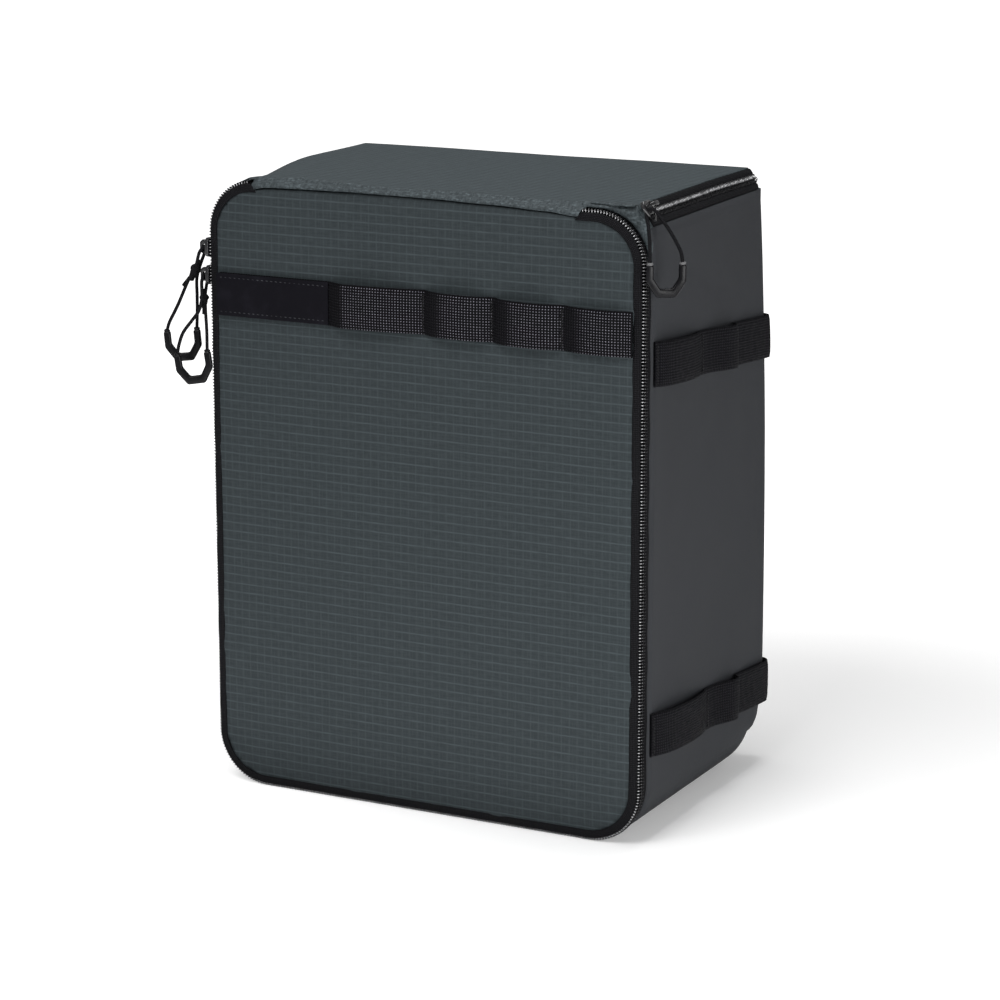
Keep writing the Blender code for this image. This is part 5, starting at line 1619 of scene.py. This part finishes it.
for word in ("front_slider_upper", "front_slider_lower", "top_slider"):
    soften(word + "_cast", word, 0.00045, 3, painted_slider, word)
soften("top_bail_wire", "top_pull_bail", 0.0002, 2, painted_slider, "top_pull", sharp=70)
for word, body in (("front_pull_grip_upper", "front_pull_upper"), ("front_pull_grip_lower", "front_pull_lower"),
                   ("top_pull_grip", "top_pull")):
    soften(word + "_moulded", word, 0.0011, 4, grip_plastic, body)


# %% Collars and knots
def turned_spot(work, fresh, spot, axis):
    """Turn fresh points from the Z axis to another, and move them to a spot."""
    turn = Vector((0, 0, 1)).rotation_difference(Vector(axis)).to_matrix()
    bmesh.ops.rotate(work, verts=fresh, matrix=turn)
    bmesh.ops.translate(work, verts=fresh, vec=spot)


def collars(name, route, body, material):
    """A rolled collar where each end of a cord enters its grip."""
    work = bmesh.new()
    for spot, axis in ((route[0], route[1] - route[0]), (route[-1], route[-1] - route[-2])):
        ring = bmesh.ops.create_cone(work, cap_ends=True, cap_tris=False, segments=20, radius1=0.0019,
                                     radius2=0.0016, depth=0.0016)
        turned_spot(work, ring["verts"], spot, axis)
    rims = [edge for edge in work.edges if edge.calc_face_angle(0) > 1]
    bmesh.ops.bevel(work, geom=rims, offset=0.0004, segments=2, profile=0.5, affect="EDGES", material=-1)
    return finish_piece(name, work, material, body)


collars("upper_grip_collars", upper_route, "front_pull_upper", grip_plastic)
collars("lower_grip_collars", lower_route, "front_pull_lower", grip_plastic)
collar_grey = moulded_material("collar plastic", (0.12, 0.12, 0.123), 0.4, specular=0.2)
collars("top_grip_collars", top_route, "top_pull", collar_grey)


def knot(name, centre, along, size, tail, body):
    """A tightened knot: a long lump with the cord's turns winding round it, and a cut tail."""
    work = bmesh.new()
    bmesh.ops.create_uvsphere(work, u_segments=28, v_segments=22, radius=1)
    for vertex in work.verts:
        x, y, z = vertex.co
        angle = math.atan2(y, x)
        ridge = abs(math.sin(angle + 5.2 * z))
        swell_here = (0.72 + 0.34 * ridge) * (1 + 0.18 * math.sin(6 * z + 1))
        vertex.co = Vector((x * size * swell_here, y * size * swell_here, z * size * 2.5))
    turned_spot(work, work.verts[:], Vector(centre), along)
    way = Vector(tail) - Vector(centre)
    end = bmesh.ops.create_cone(work, cap_ends=True, cap_tris=False, segments=14, radius1=CORD_THICK * 0.55,
                                radius2=CORD_THICK * 0.55, depth=way.length)
    turned_spot(work, end["verts"], (Vector(centre) + Vector(tail)) / 2, way)
    return finish_piece(name, work, cord_braid, body)


knot("upper_pull_knot", (-0.1508, -0.0856, 0.3040), (0.5, 0, 0.87), 0.0029, (-0.1592, -0.0856, 0.2945),
     "front_pull_upper")
knot("lower_pull_knot", (-0.1429, -0.0891, 0.2885), (0.05, 0, 1), 0.0024, (-0.1432, -0.0893, 0.2795),
     "front_pull_lower")
print("pulls finished")

# %% [markdown]
# ## Floor, backdrop and light
#
# The object stands on a white sweep, as in a catalogue. The floor is pale and lit by soft
# lamps at a plain level. What the camera sees directly is lifted towards pure white, least near
# a point to the right behind the case: this painted glow washes out the lamps' shadow except
# there, so the soft shadow stays only behind the case on the right, while the object gets no extra light.

# %% White floor and world
floor = bmesh.new()
bmesh.ops.create_grid(floor, x_segments=1, y_segments=1, size=20)
floor_mesh = bpy.data.meshes.new("studio_floor")
floor.to_mesh(floor_mesh)
floor.free()
floor_object = bpy.data.objects.new("studio_floor", floor_mesh)
bpy.context.collection.objects.link(floor_object)
floor_material = bpy.data.materials.new("studio floor")
floor_material.use_nodes = True
tree = floor_material.node_tree
paper = tree.nodes["Principled BSDF"]
paper.inputs["Base Color"].default_value = (0.88, 0.88, 0.88, 1)
paper.inputs["Roughness"].default_value = 0.8
paper.inputs["Specular IOR Level"].default_value = 0.1
paper.inputs["Emission Color"].default_value = (1, 1, 1, 1)
rays = tree.nodes.new("ShaderNodeLightPath")
seen = rays.outputs["Is Camera Ray"]
place = tree.nodes.new("ShaderNodeTexCoord")
reach = tree.nodes.new("ShaderNodeVectorMath")
reach.operation = "DISTANCE"
reach.inputs[1].default_value = (0.24, 0.10, 0)
tree.links.new(place.outputs["Object"], reach.inputs[0])
# Painted light: the floor's glow is weakest near a point right behind the case and strongest far off, hiding
# the lamps' shadow elsewhere.
lift = ramp(tree, reach.outputs["Value"], 0.12, 0.75, 0.19, 0.9)
tree.links.new(calc(tree, "MULTIPLY", seen, lift), paper.inputs["Emission Strength"])
floor_mesh.materials.append(floor_material)

world = bpy.data.worlds.new("studio_world")
world.use_nodes = True
bpy.context.scene.world = world
tree = world.node_tree
tree.nodes.clear()
rays = tree.nodes.new("ShaderNodeLightPath")
seen = rays.outputs["Is Camera Ray"]
surround = tree.nodes.new("ShaderNodeBackground")
surround.inputs["Color"].default_value = (1, 1, 1, 1)
tree.links.new(calc(tree, "ADD", calc(tree, "MULTIPLY", seen, 0.72), 0.28), surround.inputs["Strength"])
output = tree.nodes.new("ShaderNodeOutputWorld")
tree.links.new(surround.outputs[0], output.inputs["Surface"])


# %% Soft lamps
def soft_lamp(name, spot, size, watts, aim=(0, 0, 0.2)):
    """A rectangular lamp that faces a place on the object."""
    data = bpy.data.lights.new(name, "AREA")
    data.shape = "RECTANGLE"
    data.size, data.size_y = size
    data.energy = watts
    lamp = bpy.data.objects.new(name, data)
    bpy.context.collection.objects.link(lamp)
    lamp.location = spot
    lamp.rotation_euler = (Vector(spot) - Vector(aim)).to_track_quat("Z", "Y").to_euler()
    return lamp


soft_lamp("overhead_lamp", (0.1, 0.05, 1.5), (0.5, 0.5), 8)
soft_lamp("key_lamp", (-0.2, -1.2, 1.7), (0.9, 0.9), 19)
soft_lamp("right_lamp", (1.2, -0.7, 0.35), (0.6, 0.6), 9)
bounce = soft_lamp("bounce_lamp", (0.12, -0.34, 0.008), (0.8, 0.44), 1.0, aim=(0.12, -0.34, 1))
bounce.visible_camera = False
